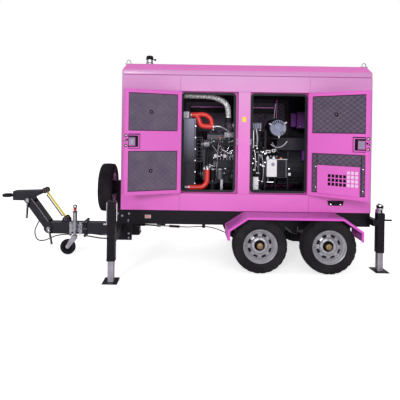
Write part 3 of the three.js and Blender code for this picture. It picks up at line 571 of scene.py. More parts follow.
    def clip(self, centre, axis, radius, material=ZINC):
        """A worm-drive hose clip."""
        centre, axis = Vector(centre), Vector(axis).normalized()
        width = 0.012
        self.lathe([(-width / 2, radius), (-width / 2, radius + 0.003), (width / 2, radius + 0.003),
                    (width / 2, radius)], centre, axis, material, 24, True)
        across, up = side_frame(axis)
        self.rod(centre + up * (radius + 0.006) - across * 0.012, centre + up * (radius + 0.006) + across * 0.012,
                 0.006, material, sides=8)

    def finish(self, bevel=0.0015, segments=2):
        """Makes the mesh, rounds its edges, parents it to its body's empty and hides the CAD nodes it replaces."""
        mesh = bpy.data.meshes.new(self.name)
        work = bmesh.new()
        made = [work.verts.new(p) for p in self.points]
        for face, mark in zip(self.faces, self.marks):
            new = work.faces.new([made[i] for i in face])
            new.material_index = mark
            new.smooth = True
        bmesh.ops.recalc_face_normals(work, faces=work.faces)
        work.to_mesh(mesh)
        work.free()
        for material in self.materials:
            mesh.materials.append(material)
        mesh.set_sharp_from_angle(angle=math.radians(38))
        piece = bpy.data.objects.new(self.name, mesh)
        bpy.context.scene.collection.objects.link(piece)
        if bevel:
            soften(piece, bevel, segments)
        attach(piece, self.body)
        areas = [0.0] * len(self.materials)
        for face in mesh.polygons:
            areas[face.material_index] += face.area
        if self.replaced:
            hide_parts(*self.replaced)
        return piece


def soften(piece, width, segments=2, weld=False):
    """Rounds the hard edges of a piece."""
    if weld:
        piece.modifiers.new("weld", "WELD").merge_threshold = 0.00002
    rounding = piece.modifiers.new("rounding", "BEVEL")
    rounding.width = width
    rounding.segments = segments
    rounding.limit_method = "ANGLE"
    rounding.angle_limit = math.radians(38)
    rounding.harden_normals = True
    rounding.use_clamp_overlap = True


# ---------------------------------------------------------------- canopy

def wall_box(part, side, x, y, z, material):
    """A box in a side wall, with y given as distances outwards from the middle plane."""
    low_y, high_y = sorted((side * y[0], side * y[1]))
    part.box((x[0], low_y, z[0]), (x[1], high_y, z[1]), material)


def recess_x(end):
    """Where a leaf's recess starts and ends along the wall."""
    hinge, width, away, _ = LEAVES[end]
    return sorted((hinge - away * 0.002, hinge + away * (width + RECESS_MARGIN)))


def side_sheets(part, side):
    """Outer sheets of one side, with open joints between them, and the frame behind."""
    front_low, front_high = recess_x("front")
    rear_low, rear_high = recess_x("rear")
    low, high = LEAF_Z[0] - RECESS_MARGIN, LEAF_Z[1] + RECESS_MARGIN
    top = SEAM_Z - 0.008
    columns = [(FRONT_X, front_low - JOINT), (front_low, rear_high), (rear_high + JOINT, REAR_X)]
    outer = (HALF - SHEET, HALF)
    for x in columns:
        wall_box(part, side, x, outer, (FLOOR_Z, low - JOINT), PINK)
        wall_box(part, side, x, outer, (high + JOINT, top), PINK)
    middle = [(columns[0][0], columns[0][1]), (front_high, rear_low), (columns[2][0], columns[2][1])]
    for x in middle:
        wall_box(part, side, x, outer, (low, high), PINK)
    inner = (HALF - WALL, HALF - SHEET - 0.001)
    # The wall frame behind the outer sheets is in the darker pink: painted shade.
    wall_box(part, side, (FRONT_X + SHEET, REAR_X - SHEET), inner, (FLOOR_Z + 0.002, low), PINK_RECESS_SHADE)
    wall_box(part, side, (FRONT_X + SHEET, REAR_X - SHEET), inner, (high, SEAM_Z - 0.0005), PINK_RECESS_SHADE)
    for x in ((FRONT_X + SHEET, front_low), (front_high, rear_low), (rear_high, REAR_X - SHEET)):
        wall_box(part, side, x, inner, (low, high), PINK_RECESS_SHADE)


def doorway(part, side, end):
    """The recess floor around one opening."""
    x0, x1 = DOORWAYS[end]
    z0, z1 = DOORWAY_Z
    low, high = recess_x(end)
    frame_loop = rounded(low, high, LEAF_Z[0] - RECESS_MARGIN, LEAF_Z[1] + RECESS_MARGIN, 0.001)
    hole = rounded(x0, x1, z0, z1, DOORWAY_CORNER)
    floor_y = HALF - RECESS_DEPTH
    low_y, high_y = sorted((side * (HALF - WALL), side * floor_y))
    # Recess floor in the darker pink on the near side and in the dark plum copy on the far side: both painted shade.
    part.ring(frame_loop, hole, "y", low_y, high_y, PINK_RECESS_SHADE if side == NEAR else PINK_SHADE)


def door_seal(side, end):
    """The rubber seal of one opening: a flat flange on the recess floor and a lip through it."""
    x0, x1 = DOORWAYS[end]
    z0, z1 = DOORWAY_Z
    part = Part(f"door_seal_{SIDE_NAMES[side]}_{end}", "chassis")
    wide, inset = 0.020, 0.009
    floor_y = HALF - RECESS_DEPTH
    outer = rounded(x0 - wide, x1 + wide, z0 - wide, z1 + wide, DOORWAY_CORNER + wide)
    inner = rounded(x0 + inset, x1 - inset, z0 + inset, z1 - inset, DOORWAY_CORNER - inset)
    low_y, high_y = sorted((side * (floor_y + 0.0003), side * (floor_y + 0.0036)))
    part.ring(outer, inner, "y", low_y, high_y, SEAL)
    lip = rounded(x0 - 0.0005, x1 + 0.0005, z0 - 0.0005, z1 + 0.0005, DOORWAY_CORNER)
    low_y, high_y = sorted((side * (floor_y - 0.016), side * (floor_y + 0.003)))
    part.ring(lip, inner, "y", low_y, high_y, SEAL)
    part.finish(0.0014, 2)


def pillar_fittings(part, side):
    """Strikers, the body's halves of the hinges, and a blank yellow plate."""
    for end in ("front", "rear"):
        hinge, width, away, _ = LEAVES[end]
        edge = hinge + away * (width + RECESS_MARGIN)
        for z in (1.560, 1.608):
            wall_box(part, side, sorted((edge - away * 0.016, edge + away * 0.012)), (HALF - 0.014, HALF - 0.010),
                     (z - 0.004, z + 0.004), ZINC)
        pin = (edge - away * 0.014, side * (HALF - 0.016))
        part.rod((*pin, 1.545), (*pin, 1.623), 0.004, CHROME, sides=10)
        for z in HINGE_HEIGHTS:
            low, high = z + 0.0353, z + 0.0703
            part.rod((hinge, side * HINGE_Y, low), (hinge, side * HINGE_Y, high), 0.0078, ZINC, sides=16)
            part.rod((hinge, side * HINGE_Y, high), (hinge, side * HINGE_Y, high + 0.004), 0.0055, CHROME)
            wall_box(part, side, sorted((hinge - away * 0.058, hinge)), (HALF, HALF + 0.004), (low, high), PINK)
            for reach in (0.022, 0.046):
                part.bolt((hinge - away * reach, side * (HALF + 0.004), (low + high) / 2), (0, side, 0), 0.013)
    if side == NEAR:
        wall_box(part, side, (0.702, 0.752), (HALF, HALF + 0.0008), (1.838, 1.905), YELLOW)


def pull_handle(part, side, x, z):
    """A black folded grip on the lower sheet, held by two bright screws."""
    y = side * HALF
    outline = [(x - 0.105, z + 0.030), (x + 0.105, z + 0.030), (x + 0.088, z - 0.032), (x - 0.088, z - 0.032)]
    low, high = sorted((y, y + side * 0.010))
    part.prism(outline, "y", low, high, PLASTIC)
    inner = [(x - 0.082, z + 0.018), (x + 0.082, z + 0.018), (x + 0.072, z - 0.004), (x - 0.072, z - 0.004)]
    low, high = sorted((y + side * 0.010, y + side * 0.016))
    part.prism(inner, "y", low, high, PLASTIC)
    for shift in (-0.062, 0.062):
        part.bolt((x + shift, y + side * 0.010, z - 0.018), (0, side, 0), 0.020, CHROME)


def end_walls(part):
    """Front wall with its air outlet, and rear wall around the control panel."""
    panel_low, panel_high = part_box("control_panel")
    top = SEAM_Z - 0.008
    inner_half = HALF - SHEET
    part.box((FRONT_X, -HALF, FLOOR_Z), (FRONT_X + SHEET, HALF, top), PINK)
    # The inner layers of both end walls are in the darker pink: painted shade.
    part.box((FRONT_X + SHEET, -inner_half, FLOOR_Z), (FRONT_X + END_WALL, inner_half, SEAM_Z - 0.0005), PINK_RECESS_SHADE)
    margin = 0.003
    hole = rounded(panel_low.y - margin, panel_high.y + margin, panel_low.z - margin, panel_high.z + margin, 0.002)
    face = rounded(-HALF, HALF, FLOOR_Z, top, 0.001)
    part.ring(face, hole, "x", REAR_X - SHEET, REAR_X, PINK)
    back = rounded(-inner_half, inner_half, FLOOR_Z + 0.001, SEAM_Z - 0.0005, 0.001)
    part.ring(back, hole, "x", REAR_X - END_WALL, REAR_X - SHEET - 0.001, PINK_RECESS_SHADE)
    louvre_columns(part, FRONT_X, 0.21, 1.02, 15, 0.062, 0.17, -1)
    louvre_columns(part, REAR_X, 0.2448, 0.82, 9, 0.050, 0.13, 1)


def louvre_columns(part, x, reach, bottom, rows, pitch, half, way):
    """Two columns of louvres on an end wall, at reach on either side of the middle."""
    for y in (-reach, reach):
        for k in range(rows):
            louvre(part, (x, y, bottom + k * pitch), half, way)


def louvre(part, middle, half, way):
    """One pressed hood, closed, with a dark strip along its lower edge as painted shade of the opening."""
    x, y, z = middle
    depth, rise = 0.009 * way, 0.036
    loops = []
    for share in (-1.0, -0.93, 0.93, 1.0):
        d = depth if abs(share) < 1 else depth * 0.15
        at = y + half * share
        loops.append([(x - way * 0.001, at, z - rise / 2), (x + d, at, z - rise / 2 + 0.003),
                      (x + d * 0.75, at, z - rise / 2 + 0.013), (x - way * 0.001, at, z + rise / 2)])
    part.loft(loops, PINK)
    # The dark strip stands in for the opening under the hood: painted shade.
    slit = sorted_corner((x, y - half * 0.9, z - rise / 2 - 0.003),
                         (x + way * 0.0005, y + half * 0.9, z - rise / 2 + 0.001))
    part.box(*slit, PLASTIC)


def canopy():
    """All outer sheets, their fittings and the floor, with a seal in each doorway."""
    part = Part("canopy_sheets", "chassis", "canopy_body")
    for side in (NEAR, FAR):
        side_sheets(part, side)
        for end in LEAVES:
            doorway(part, side, end)
            door_seal(side, end)
        pillar_fittings(part, side)
        pull_handle(part, side, 1.905, 0.822)
    end_walls(part)
    part.box((FRONT_X + 0.004, -HALF + 0.004, FLOOR_Z), (REAR_X - 0.004, HALF - 0.004, FLOOR_Z + 0.012), DECK)
    part.finish(0.0012, 2)


def linings():
    """Foam boards on the inner faces of the walls, with rails and small boxes in the rear bay. The upper rails take the
    brighter fender paint as a painted highlight, and the boxes are dark purple as painted shade.
    """
    part = Part("wall_lining", "chassis")
    foam_y = HALF - WALL
    for side in (NEAR, FAR):
        for x in ((FRONT_X + 0.04, -0.075), (0.628, 0.815), (1.545, REAR_X - 0.05)):
            wall_box(part, side, x, (foam_y - 0.022, foam_y - 0.0005), (0.935, 2.40), FOAM_DARK)
        for x in ((-0.075, 0.628), (0.815, 1.545)):
            wall_box(part, side, x, (foam_y - 0.022, foam_y - 0.0005), (2.215, 2.40), FOAM_DARK)
    low_x = FRONT_X + END_WALL
    part.box((low_x, -0.45, 1.93), (low_x + 0.022, 0.45, 2.40), FOAM_DARK)
    part.box((REAR_X - END_WALL - 0.022, -0.45, 1.90), (REAR_X - END_WALL, 0.45, 2.40), FOAM_DARK)
    part.box((REAR_X - END_WALL - 0.022, -0.45, 0.93), (REAR_X - END_WALL, 0.45, 1.30), FOAM_DARK)
    for x in ((0.06, 0.56), (0.86, 1.30)):
        # Upper rails in the brighter copy of the fender paint: painted highlight.
        part.box((x[0], 0.425, 2.075), (x[1], 0.465, 2.090), MAGENTA_PAINTED_HIGHLIGHT)
        part.box((x[0], 0.428, 2.00), (x[1], 0.463, 2.073), PLASTIC)
    part.box((1.335, 0.40, 1.80), (1.348, 0.45, 2.20), MAGENTA)
    # Boxes in the dark purple copy of the pink paint: painted shade.
    part.box((1.53, 0.28, 1.80), (1.60, 0.31, 2.00), PURPLE_PAINTED_SHADE)
    part.box((1.61, 0.24, 1.78), (1.74, 0.30, 2.02), PURPLE_PAINTED_SHADE)
    part.box((1.535, -0.330, 1.345), (1.590, -0.290, 1.470), PURPLE_PAINTED_SHADE)
    part.box((1.600, -0.325, 1.355), (1.650, -0.290, 1.460), PURPLE_PAINTED_SHADE)
    for x, y, z in ((1.66, 0.236, 1.80), (1.575, 0.236, 1.39)):
        part.bolt((x, y + 0.003, z), (0, -1, 0), 0.022, CHROME)
    part.finish(0.001, 1)


# ---------------------------------------------------------------- roof

def roof():
    """One folded shell with two ribs, four lifting eyes and the bolts along its eaves."""
    part = Part("roof_shell", "chassis", "canopy_roof")
    middle = ((roof_low.x + roof_high.x) / 2, (roof_low.y + roof_high.y) / 2)
    half = ((roof_high.x - roof_low.x) / 2, (roof_high.y - roof_low.y) / 2)
    eaves, top, inset = 2.490, 2.572, 0.060
    profile = [(0.0, roof_low.z), (0.0, eaves - 0.006), (0.003, eaves), (0.010, eaves + 0.010),
               (inset - 0.012, top - 0.014), (inset - 0.002, top - 0.004), (inset + 0.012, top - 0.0005),
               (inset + 0.030, top)]
    loops = []
    for inward, z in profile:
        x, y = half[0] - inward, half[1] - inward
        loop = rounded(middle[0] - x, middle[0] + x, middle[1] - y, middle[1] + y, 0.022)
        loops.append([(px, py, z) for px, py in loop])
    part.loft(loops, PINK)
    for x in (-0.085, 1.557):
        part.box((x - 0.012, -half[1] + 0.09, top - 0.001), (x + 0.012, half[1] - 0.09, top + 0.004), PINK)
    for x in (-0.770, 2.288):
        for y in (-0.440, 0.440):
            lifting_eye(part, x, y, top)
    for k in range(9):
        for side in (NEAR, FAR):
            part.bolt((-0.60 + k * 0.36, side * half[1], eaves - 0.030), (0, side, 0), 0.012, PINK)
    part.finish(0.002, 2)


def lifting_eye(part, x, y, top):
    """A bent steel eye on its bolted plate."""
    part.box((x - 0.045, y - 0.030, top - 0.001), (x + 0.045, y + 0.030, top + 0.007), ZINC)
    ring = []
    for k in range(13):
        turn = math.pi * k / 12
        ring.append((x + 0.024 * math.cos(turn), y, top + 0.030 + 0.022 * math.sin(turn)))
    path = [(x + 0.026, y, top + 0.004)] + ring + [(x - 0.026, y, top + 0.004)]
    part.tube(path, 0.0055, ZINC, 12)
    for shift in (-0.036, 0.036):
        part.bolt((x + shift, y + 0.018, top + 0.007), UP, 0.014)


def exhaust():
    """Silencer drum, foil-wrapped pipe from the turbocharger and the outlet with its clamp."""
    part = Part("exhaust_system", "chassis", "silencer")
    y = EXHAUST_Y
    drum_low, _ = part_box("silencer")
    part.lathe([(0.0, 0.05), (0.004, 0.100), (0.014, 0.118), (0.02, 0.120), (0.55, 0.120), (0.556, 0.118),
                (0.566, 0.100), (0.57, 0.05)], (drum_low.x, y, DRUM_Z), ALONG_X, STEEL, 40)
    for along in (0.09, 0.48):
        part.band((drum_low.x + along, y, DRUM_Z), ALONG_X, 0.1205, 0.124, 0.03, PLASTIC, 40)
    rise = bent([(-0.18, y, DRUM_Z), (0.34, y, 2.185), (0.545, y, 2.10), (0.560, y, 1.84)], 0.16, 14)
    part.tube(dense(rise, 0.008), 0.036, FOIL, 20,
              lambda k: 1.0 + 0.09 * math.sin(k * 1.9) + 0.05 * math.sin(k * 0.7))
    part.tube([(0.560, y, 1.90), (0.560, y, 1.78)], 0.050, CAST, 24)
    part.rod((STACK_X, y, 2.28), (STACK_X, y, 2.600), 0.042, STEEL, sides=32)
    part.lathe([(0, 0.046), (0, 0.070), (0.004, 0.072), (0.007, 0.060), (0.030, 0.050), (0.030, 0.0425)],
               (STACK_X, y, 2.5725), UP, PLASTIC, 32, True)
    part.band((STACK_X, y, 2.601), UP, 0.0385, 0.0435, 0.060, CHROME)
    part.band((STACK_X, y, 2.612), UP, 0.044, 0.048, 0.014, ZINC)
    part.rod((STACK_X - 0.03, y - 0.052, 2.619), (STACK_X + 0.02, y - 0.052, 2.619), 0.004, ZINC, sides=8)
    part.finish(0.001, 1)


def rain_hood():
    """The flared cap of the outlet, with its counterweight strap and hinge."""
    part = Part("rain_hood", "cap", "rain_cap")
    x, y = STACK_X, EXHAUST_Y
    part.lathe([(0.0, 0.040), (0.002, 0.050), (0.012, 0.052), (0.026, 0.044), (0.038, 0.047), (0.048, 0.042),
                (0.055, 0.020)], (x, y, 2.6645), UP, BLACK, 40)
    part.box((x + 0.030, y - 0.009, 2.6655), (x + 0.074, y + 0.009, 2.6715), BLACK)
    part.box((x + 0.060, y - 0.018, 2.652), (x + 0.084, y + 0.018, 2.674), CAST)
    part.finish(0.0012, 2)


# ---------------------------------------------------------------- doors

def leaf_place(side, end):
    """Turns leaf measures (distance from hinge, distance outwards, height) into the frame at rest."""
    hinge, _, away, swing = LEAVES[end]
    turn = math.radians(swing) * away * side if side == NEAR else 0.0
    return (Matrix.Translation((hinge, side * HINGE_Y, 0)) @ Matrix.Rotation(turn, 4, "Z")
            @ Matrix.Diagonal((away, side, 1, 1)))


def crate_wave(x, z):
    """The foam lattice's height, from -1 in the hollows to 1 on the peaks."""
    return math.cos(2 * math.pi * x / CRATE_PITCH[0]) * math.cos(2 * math.pi * z / CRATE_PITCH[1])


def egg_crate(part, x, z, base, depth, back, material):
    """An acoustic foam board whose face is a lattice of soft pyramids, with square sides."""
    step = 0.011
    columns = int((x[1] - x[0]) / step)
    rows = int((z[1] - z[0]) / step)
    points, faces = [], []
    for i in range(columns + 1):
        for j in range(rows + 1):
            u = x[0] + (x[1] - x[0]) * i / columns
            v = z[0] + (z[1] - z[0]) * j / rows
            at_edge = min(i, columns - i, j, rows - j) == 0
            lift = 0.0 if at_edge else depth * 0.5 * (1 + crate_wave(u, v))
            points.append((u, base - lift, v))
    width = rows + 1
    for i in range(columns):
        for j in range(rows):
            a = i * width + j
            faces.append((a, a + width, a + width + 1, a + 1))
    rim = ([i * width for i in range(columns + 1)] + [columns * width + j for j in range(1, rows + 1)]
           + [i * width + rows for i in range(columns - 1, -1, -1)] + [j for j in range(rows - 1, 0, -1)])
    first = len(points)
    points += [(points[k][0], back, points[k][2]) for k in rim]
    n = len(rim)
    faces += [(rim[k], rim[(k + 1) % n], first + (k + 1) % n, first + k) for k in range(n)]
    faces.append(tuple(range(first, first + n)))
    part.add(points, faces, material)


def shade_hollows(piece, place, strength):
    """Marks the low parts of the foam lattice, for its material to darken."""
    mark = piece.data.attributes.new("hollow", "FLOAT", "POINT")
    back = place.inverted()
    for vertex, value in zip(piece.data.vertices, mark.data):
        x, _, z = back @ vertex.co
        value.value = strength * 0.5 * (1 - crate_wave(x, z))


def leaf(side, end):
    """One service door: folded skin, stepped rim, foam boards, lock housing, studs and hinge halves."""
    width = LEAVES[end][1]
    tag = f"{SIDE_NAMES[side]}_{end}"
    body = f"door_{tag}"
    # Near leaves take the inner pink; far leaves take its dark plum copy as painted shade.
    inner = PINK_INNER if side == NEAR else PINK_SHADE
    part = Part(f"door_leaf_{tag}", body, body)
    boards = Part(f"door_boards_{tag}", body)
    part.place = boards.place = leaf_place(side, end)
    lock_x = width - 0.092
    leaf_skin(part, width, lock_x, inner)
    panes = leaf_frame(part, width, inner)
    for pane in panes:
        leaf_pane(part, width, pane, inner)
        foam_board(part, boards, width, pane, end, pane == panes[0])
    housing(part, width, LOCK_Z, inner)
    if end == "rear":
        vent_hood(part, LEAF_START + STILE, width - STILE, panes[0], inner)
    leaf_hinges(part)
    part.finish(0.0012, 2)
    shade_hollows(boards.finish(0.0), boards.place, 0.55 if end == "rear" else 0.16)
    lock(side, end, lock_x, LOCK_Z)


def plate(x, z, wide, high, radius):
    """A rounded rectangle about its centre, from its half width and half height."""
    return rounded(x - wide, x + wide, z - high, z + high, radius)


def leaf_skin(part, width, lock_x, inner):
    """The outer sheet with the lock's black dish, and the rim folded inwards along its edge."""
    low, high = LEAF_Z
    skin_back = LEAF_OUT - 0.0025
    edge = rounded(LEAF_START, width, low, high, 0.004)
    dish = plate(lock_x, LOCK_Z, 0.058, 0.070, 0.012)
    part.ring(edge, dish, "y", skin_back, LEAF_OUT, PINK)
    part.ring(dish, plate(lock_x, LOCK_Z, 0.055, 0.067, 0.010), "y", LEAF_OUT - 0.0145, LEAF_OUT + 0.0012, PLASTIC)
    part.prism(plate(lock_x, LOCK_Z, 0.056, 0.068, 0.010), "y", LEAF_OUT - 0.0165, LEAF_OUT - 0.0145, PLASTIC)
    lip = rounded(LEAF_START + 0.010, width - 0.010, low + 0.010, high - 0.010, 0.003)
    part.ring(edge, lip, "y", LEAF_IN, skin_back, inner)


def leaf_frame(part, width, inner):
    """The inner stiles and rails. Gives back the heights of the two panes between them."""
    low, high = LEAF_Z
    skin_back = LEAF_OUT - 0.0025
    flange_y = LEAF_IN + 0.005
    for x in ((LEAF_START + 0.010, LEAF_START + STILE), (width - STILE, width - 0.010)):
        part.box((x[0], flange_y, low + 0.010), (x[1], skin_back, high - 0.010), inner)
    bars = [(low + 0.010, low + 0.042), (MID_RAIL[0] - 0.006, MID_RAIL[1] + 0.006), (high - 0.042, high - 0.010)]
    for z in bars:
        part.box((LEAF_START + STILE, flange_y, z[0]), (width - STILE, skin_back, z[1]), inner)
    return [(bars[0][1], bars[1][0]), (bars[1][1], bars[2][0])]


def leaf_pane(part, width, z, inner):
    """A pane's narrow edge and the dark sheet behind its foam."""
    x0, x1 = LEAF_START + STILE, width - STILE
    skin_back = LEAF_OUT - 0.0025
    hole = rounded(x0 + 0.003, x1 - 0.003, z[0] + 0.003, z[1] - 0.003, 0.002)
    part.ring(rounded(x0, x1, z[0], z[1], 0.002), hole, "y", LEAF_IN + 0.001, skin_back, inner)
    part.box((x0 + 0.003, skin_back - 0.004, z[0] + 0.003), (x1 - 0.003, skin_back, z[1] - 0.003), SEAL)


def foam_board(part, boards, width, z, end, lower):
    """A pane's foam board, bold on the rear doors, and the button that holds it."""
    x0, x1 = LEAF_START + STILE, width - STILE
    margin = 0.010
    bold = end == "rear"
    egg_crate(boards, (x0 + margin, x1 - margin), (z[0] + margin, z[1] - margin),
              LEAF_IN + (0.015 if bold else 0.008), 0.012 if bold else 0.003, LEAF_OUT - 0.0025 - 0.003, FOAM)
    if bold and lower:
        return
    x, y, middle = (x0 + x1) / 2 + (-0.02 if bold else 0.03), LEAF_IN + 0.004, (z[0] + z[1]) / 2
    part.rod((x, y, middle), (x, y - 0.005, middle), 0.024, PLASTIC, 0.020)
    part.rod((x, y - 0.005, middle), (x, y - 0.007, middle), 0.007, GREY_PLASTIC)


def leaf_hinges(part):
    """The leaf's barrels and straps, each strap with four bolts."""
    face = LEAF_OUT + 0.004
    for z in HINGE_HEIGHTS:
        part.rod((0, 0, z - 0.035), (0, 0, z + 0.035), 0.0078, ZINC, sides=16)
        part.box((0.0, LEAF_OUT, z - 0.035), (0.058, face, z + 0.035), PINK)
        for reach in (0.022, 0.046):
            for rise in (-0.017, 0.017):
                part.bolt((reach, face, z + rise), ALONG_Y, 0.013)


def housing(part, width, z, inner):
    """The lock seen from inside: raised surround, open box with the paddle's back, studs and latch."""
    x0, x1 = width - 0.200, width - 0.046
    face = LEAF_IN + 0.0005
    floor = LEAF_OUT - 0.021
    outer = rounded(x0, x1, z - 0.102, z + 0.092, 0.006)
    hole = rounded(x0 + 0.028, x1 - 0.006, z - 0.074, z + 0.064, 0.004)
    part.ring(outer, hole, "y", face - 0.003, LEAF_OUT - 0.017, inner)
    part.ring(rounded(x0 + 0.006, x1 - 0.002, z - 0.094, z + 0.086, 0.006),
              rounded(x0 + 0.013, x1 - 0.008, z - 0.087, z + 0.074, 0.005), "y", face - 0.0045, face - 0.002, PLASTIC)
    part.box((x0 + 0.028, floor, z - 0.074), (x1 - 0.006, LEAF_OUT - 0.017, z + 0.064), PLASTIC)
    part.box((x0 + 0.072, face + 0.002, z - 0.052), (x1 - 0.020, floor, z + 0.040), GREY_PLASTIC)
    for low_x, high_x, low_z, high_z in ((x0 + 0.028, x0 + 0.064, z - 0.074, z + 0.064),
                                         (x0 + 0.064, x1 - 0.006, z - 0.074, z - 0.060),
                                         (x0 + 0.064, x1 - 0.006, z + 0.044, z + 0.064)):
        part.box((low_x, face - 0.003, low_z), (high_x, face + 0.004, high_z), PLASTIC)
    part.box((x0 + 0.086, face - 0.002, z - 0.040), (x1 - 0.036, face + 0.003, z + 0.012), STEEL)
    part.rod((x0 + 0.072, face - 0.001, z + 0.036), (x1 - 0.020, face - 0.001, z + 0.036), 0.005, STEEL)
    for shift in (-0.058, 0.064):
        x, height = width - 0.020, z + shift
        part.rod((x, LEAF_IN + 0.004, height), (x, LEAF_IN - 0.004, height), 0.0200, PLASTIC, 0.0185, 20)
        part.rod((x, LEAF_IN - 0.004, height), (x, LEAF_IN - 0.008, height), 0.0095, WHITE_PLASTIC)
    part.block((width - 0.022, LEAF_IN - 0.003, z + 0.004), (0.046, 0.010, 0.016), PLASTIC, (0, 40, 0))
    part.block((width - 0.016, LEAF_IN - 0.009, z - 0.004), (0.020, 0.006, 0.010), STEEL, (0, 40, 0))


def vent_hood(part, x0, x1, pane, inner):
    """The air intake of a rear door: a folded box over the foam, with a grid of square holes. A dark board with slats
    behind the left columns is painted shade, and a pale sheet behind the right columns is painted light.
    """
    span = x1 - x0
    low_x, high_x = x0 + 0.13 * span, x1 - 0.09 * span
    z0, z1 = pane[0] + 0.004, pane[0] + 0.350
    face, back, thick = LEAF_IN - 0.024, LEAF_OUT - 0.0135, 0.002
    columns, rows, hole_x, hole_z = 8, 4, 0.034, 0.038
    pitch_x, pitch_z = 0.0460, 0.0500
    grid_x = high_x - 0.004 - columns * pitch_x
    grid_z = z1 - 0.042 - rows * pitch_z
    xs = [low_x] + [grid_x + k * pitch_x + e for k in range(columns) for e in (0.0, hole_x)] + [high_x]
    zs = [z0] + [grid_z + k * pitch_z + e for k in range(rows) for e in (0.0, hole_z)] + [z1]
    for i, (a, b) in enumerate(zip(xs, xs[1:])):
        if i % 2 == 0:
            part.box((a, face, z0), (b, face + thick, z1), inner)
            continue
        for j, (c, d) in enumerate(zip(zs, zs[1:])):
            top_row = j == 2 * rows - 1
            if j % 2 == 0 or (top_row and i < 2 * DARK_COLUMNS):
                part.box((a, face, c), (b, face + thick, d), inner)
    for a, b in ((low_x, low_x + thick), (high_x - thick, high_x)):
        part.box((a, face + thick, z0), (b, back, z1), inner)
    part.box((low_x, face + thick, z1 - thick), (high_x, back, z1), inner)
    part.box((low_x, face + thick, z0), (high_x, back, z0 + thick), inner)
    split = grid_x + DARK_COLUMNS * pitch_x - 0.006
    # Painted shade behind the left columns, painted light behind the right ones.
    part.box((low_x + thick, face + 0.020, z0 + thick), (split, face + 0.024, z1 - thick), PLASTIC)
    part.box((split, face + 0.008, z0 + thick), (high_x - thick, face + 0.012, z1 - thick), PAINTED_LIGHT_SHEET)
    for k in range(6):
        part.block((split - 0.14, face + 0.014, grid_z + k * 0.034), (0.22, 0.002, 0.018), PLASTIC, (35, 0, 0))
    strip = 0.004
    for x in (low_x - 0.012, high_x + 0.012):
        part.box((x - strip / 2, LEAF_IN + 0.001, pane[0] + 0.010), (x + strip / 2, LEAF_IN + 0.010, pane[1] - 0.010),
                 FOAM_DARK)
    for x in (low_x - 0.028, high_x + 0.030):
        for z in (pane[0] + 0.070, pane[0] + 0.325):
            part.bolt((x, LEAF_IN + 0.004, z), (0, -1, 0), 0.018, CHROME)


def lock(side, end, x, z):
    """The paddle that opens a door, hinged along its top edge."""
    tag = f"{SIDE_NAMES[side]}_{end}"
    part = Part(f"lock_paddle_{tag}", f"lock_{tag}", f"door_lock_{tag}")
    part.place = leaf_place(side, end)
    back = LEAF_OUT - 0.0133
    part.prism(plate(x, z, 0.050, 0.062, 0.010), "y", back, back + 0.006, PLASTIC)
    part.ring(plate(x, z, 0.044, 0.056, 0.008), plate(x, z, 0.040, 0.052, 0.006), "y", back + 0.006,
              back + 0.008, CHROME)
    part.rod((x, back + 0.006, z + 0.030), (x, back + 0.0105, z + 0.030), 0.011, CHROME)
    part.box((x - 0.0015, back + 0.0105, z + 0.024), (x + 0.0015, back + 0.0112, z + 0.036), PLASTIC)
    part.box((x - 0.034, back + 0.006, z - 0.050), (x + 0.034, back + 0.0095, z - 0.036), PLASTIC)
    part.finish(0.0012, 2)


# ---------------------------------------------------------------- wheels

def tyre_profile():
    """Cross-section of a tyre as (across, radius) points, closed round the carcass."""
    half = [(0.072, 0.197), (0.080, 0.204), (0.082, 0.214), (0.088, 0.222), (0.088, 0.228), (0.0935, 0.236),
            (0.0965, 0.252), (0.0980, 0.270), (0.0965, 0.276), (0.0965, 0.281), (0.0955, 0.290), (0.0935, 0.296),
            (0.0935, 0.300), (0.0895, 0.308), (0.0860, 0.316), (0.0800, 0.3235), (0.0760, 0.3270), (0.0500, 0.3310),
            (0.0495, 0.3240), (0.0430, 0.3240), (0.0425, 0.3315), (0.0180, 0.3328), (0.0175, 0.3250),
            (0.0105, 0.3250), (0.0100, 0.3330)]
    other = [(-a, r) for a, r in reversed(half)]
    return half + other


def block_gap(j, k, rows):
    """Cross grooves: every fourth step round the tread sinks on the shoulder and rib rows."""
    shoulder = 14 <= j <= 17 or rows - 18 <= j <= rows - 15
    rib = 20 <= j <= 21 or rows - 22 <= j <= rows - 21
    if shoulder and k % 4 == 0:
        return -0.006
    if rib and k % 4 == 2:
        return -0.005
    return 0.0


def tyre(part, centre, axis):
    """A tyre with its tread blocks."""
    profile = tyre_profile()
    rows = len(profile)
    part.lathe(profile, centre, axis, TYRE, TREAD_SEGMENTS, True, lambda j, k: block_gap(j, k, rows))


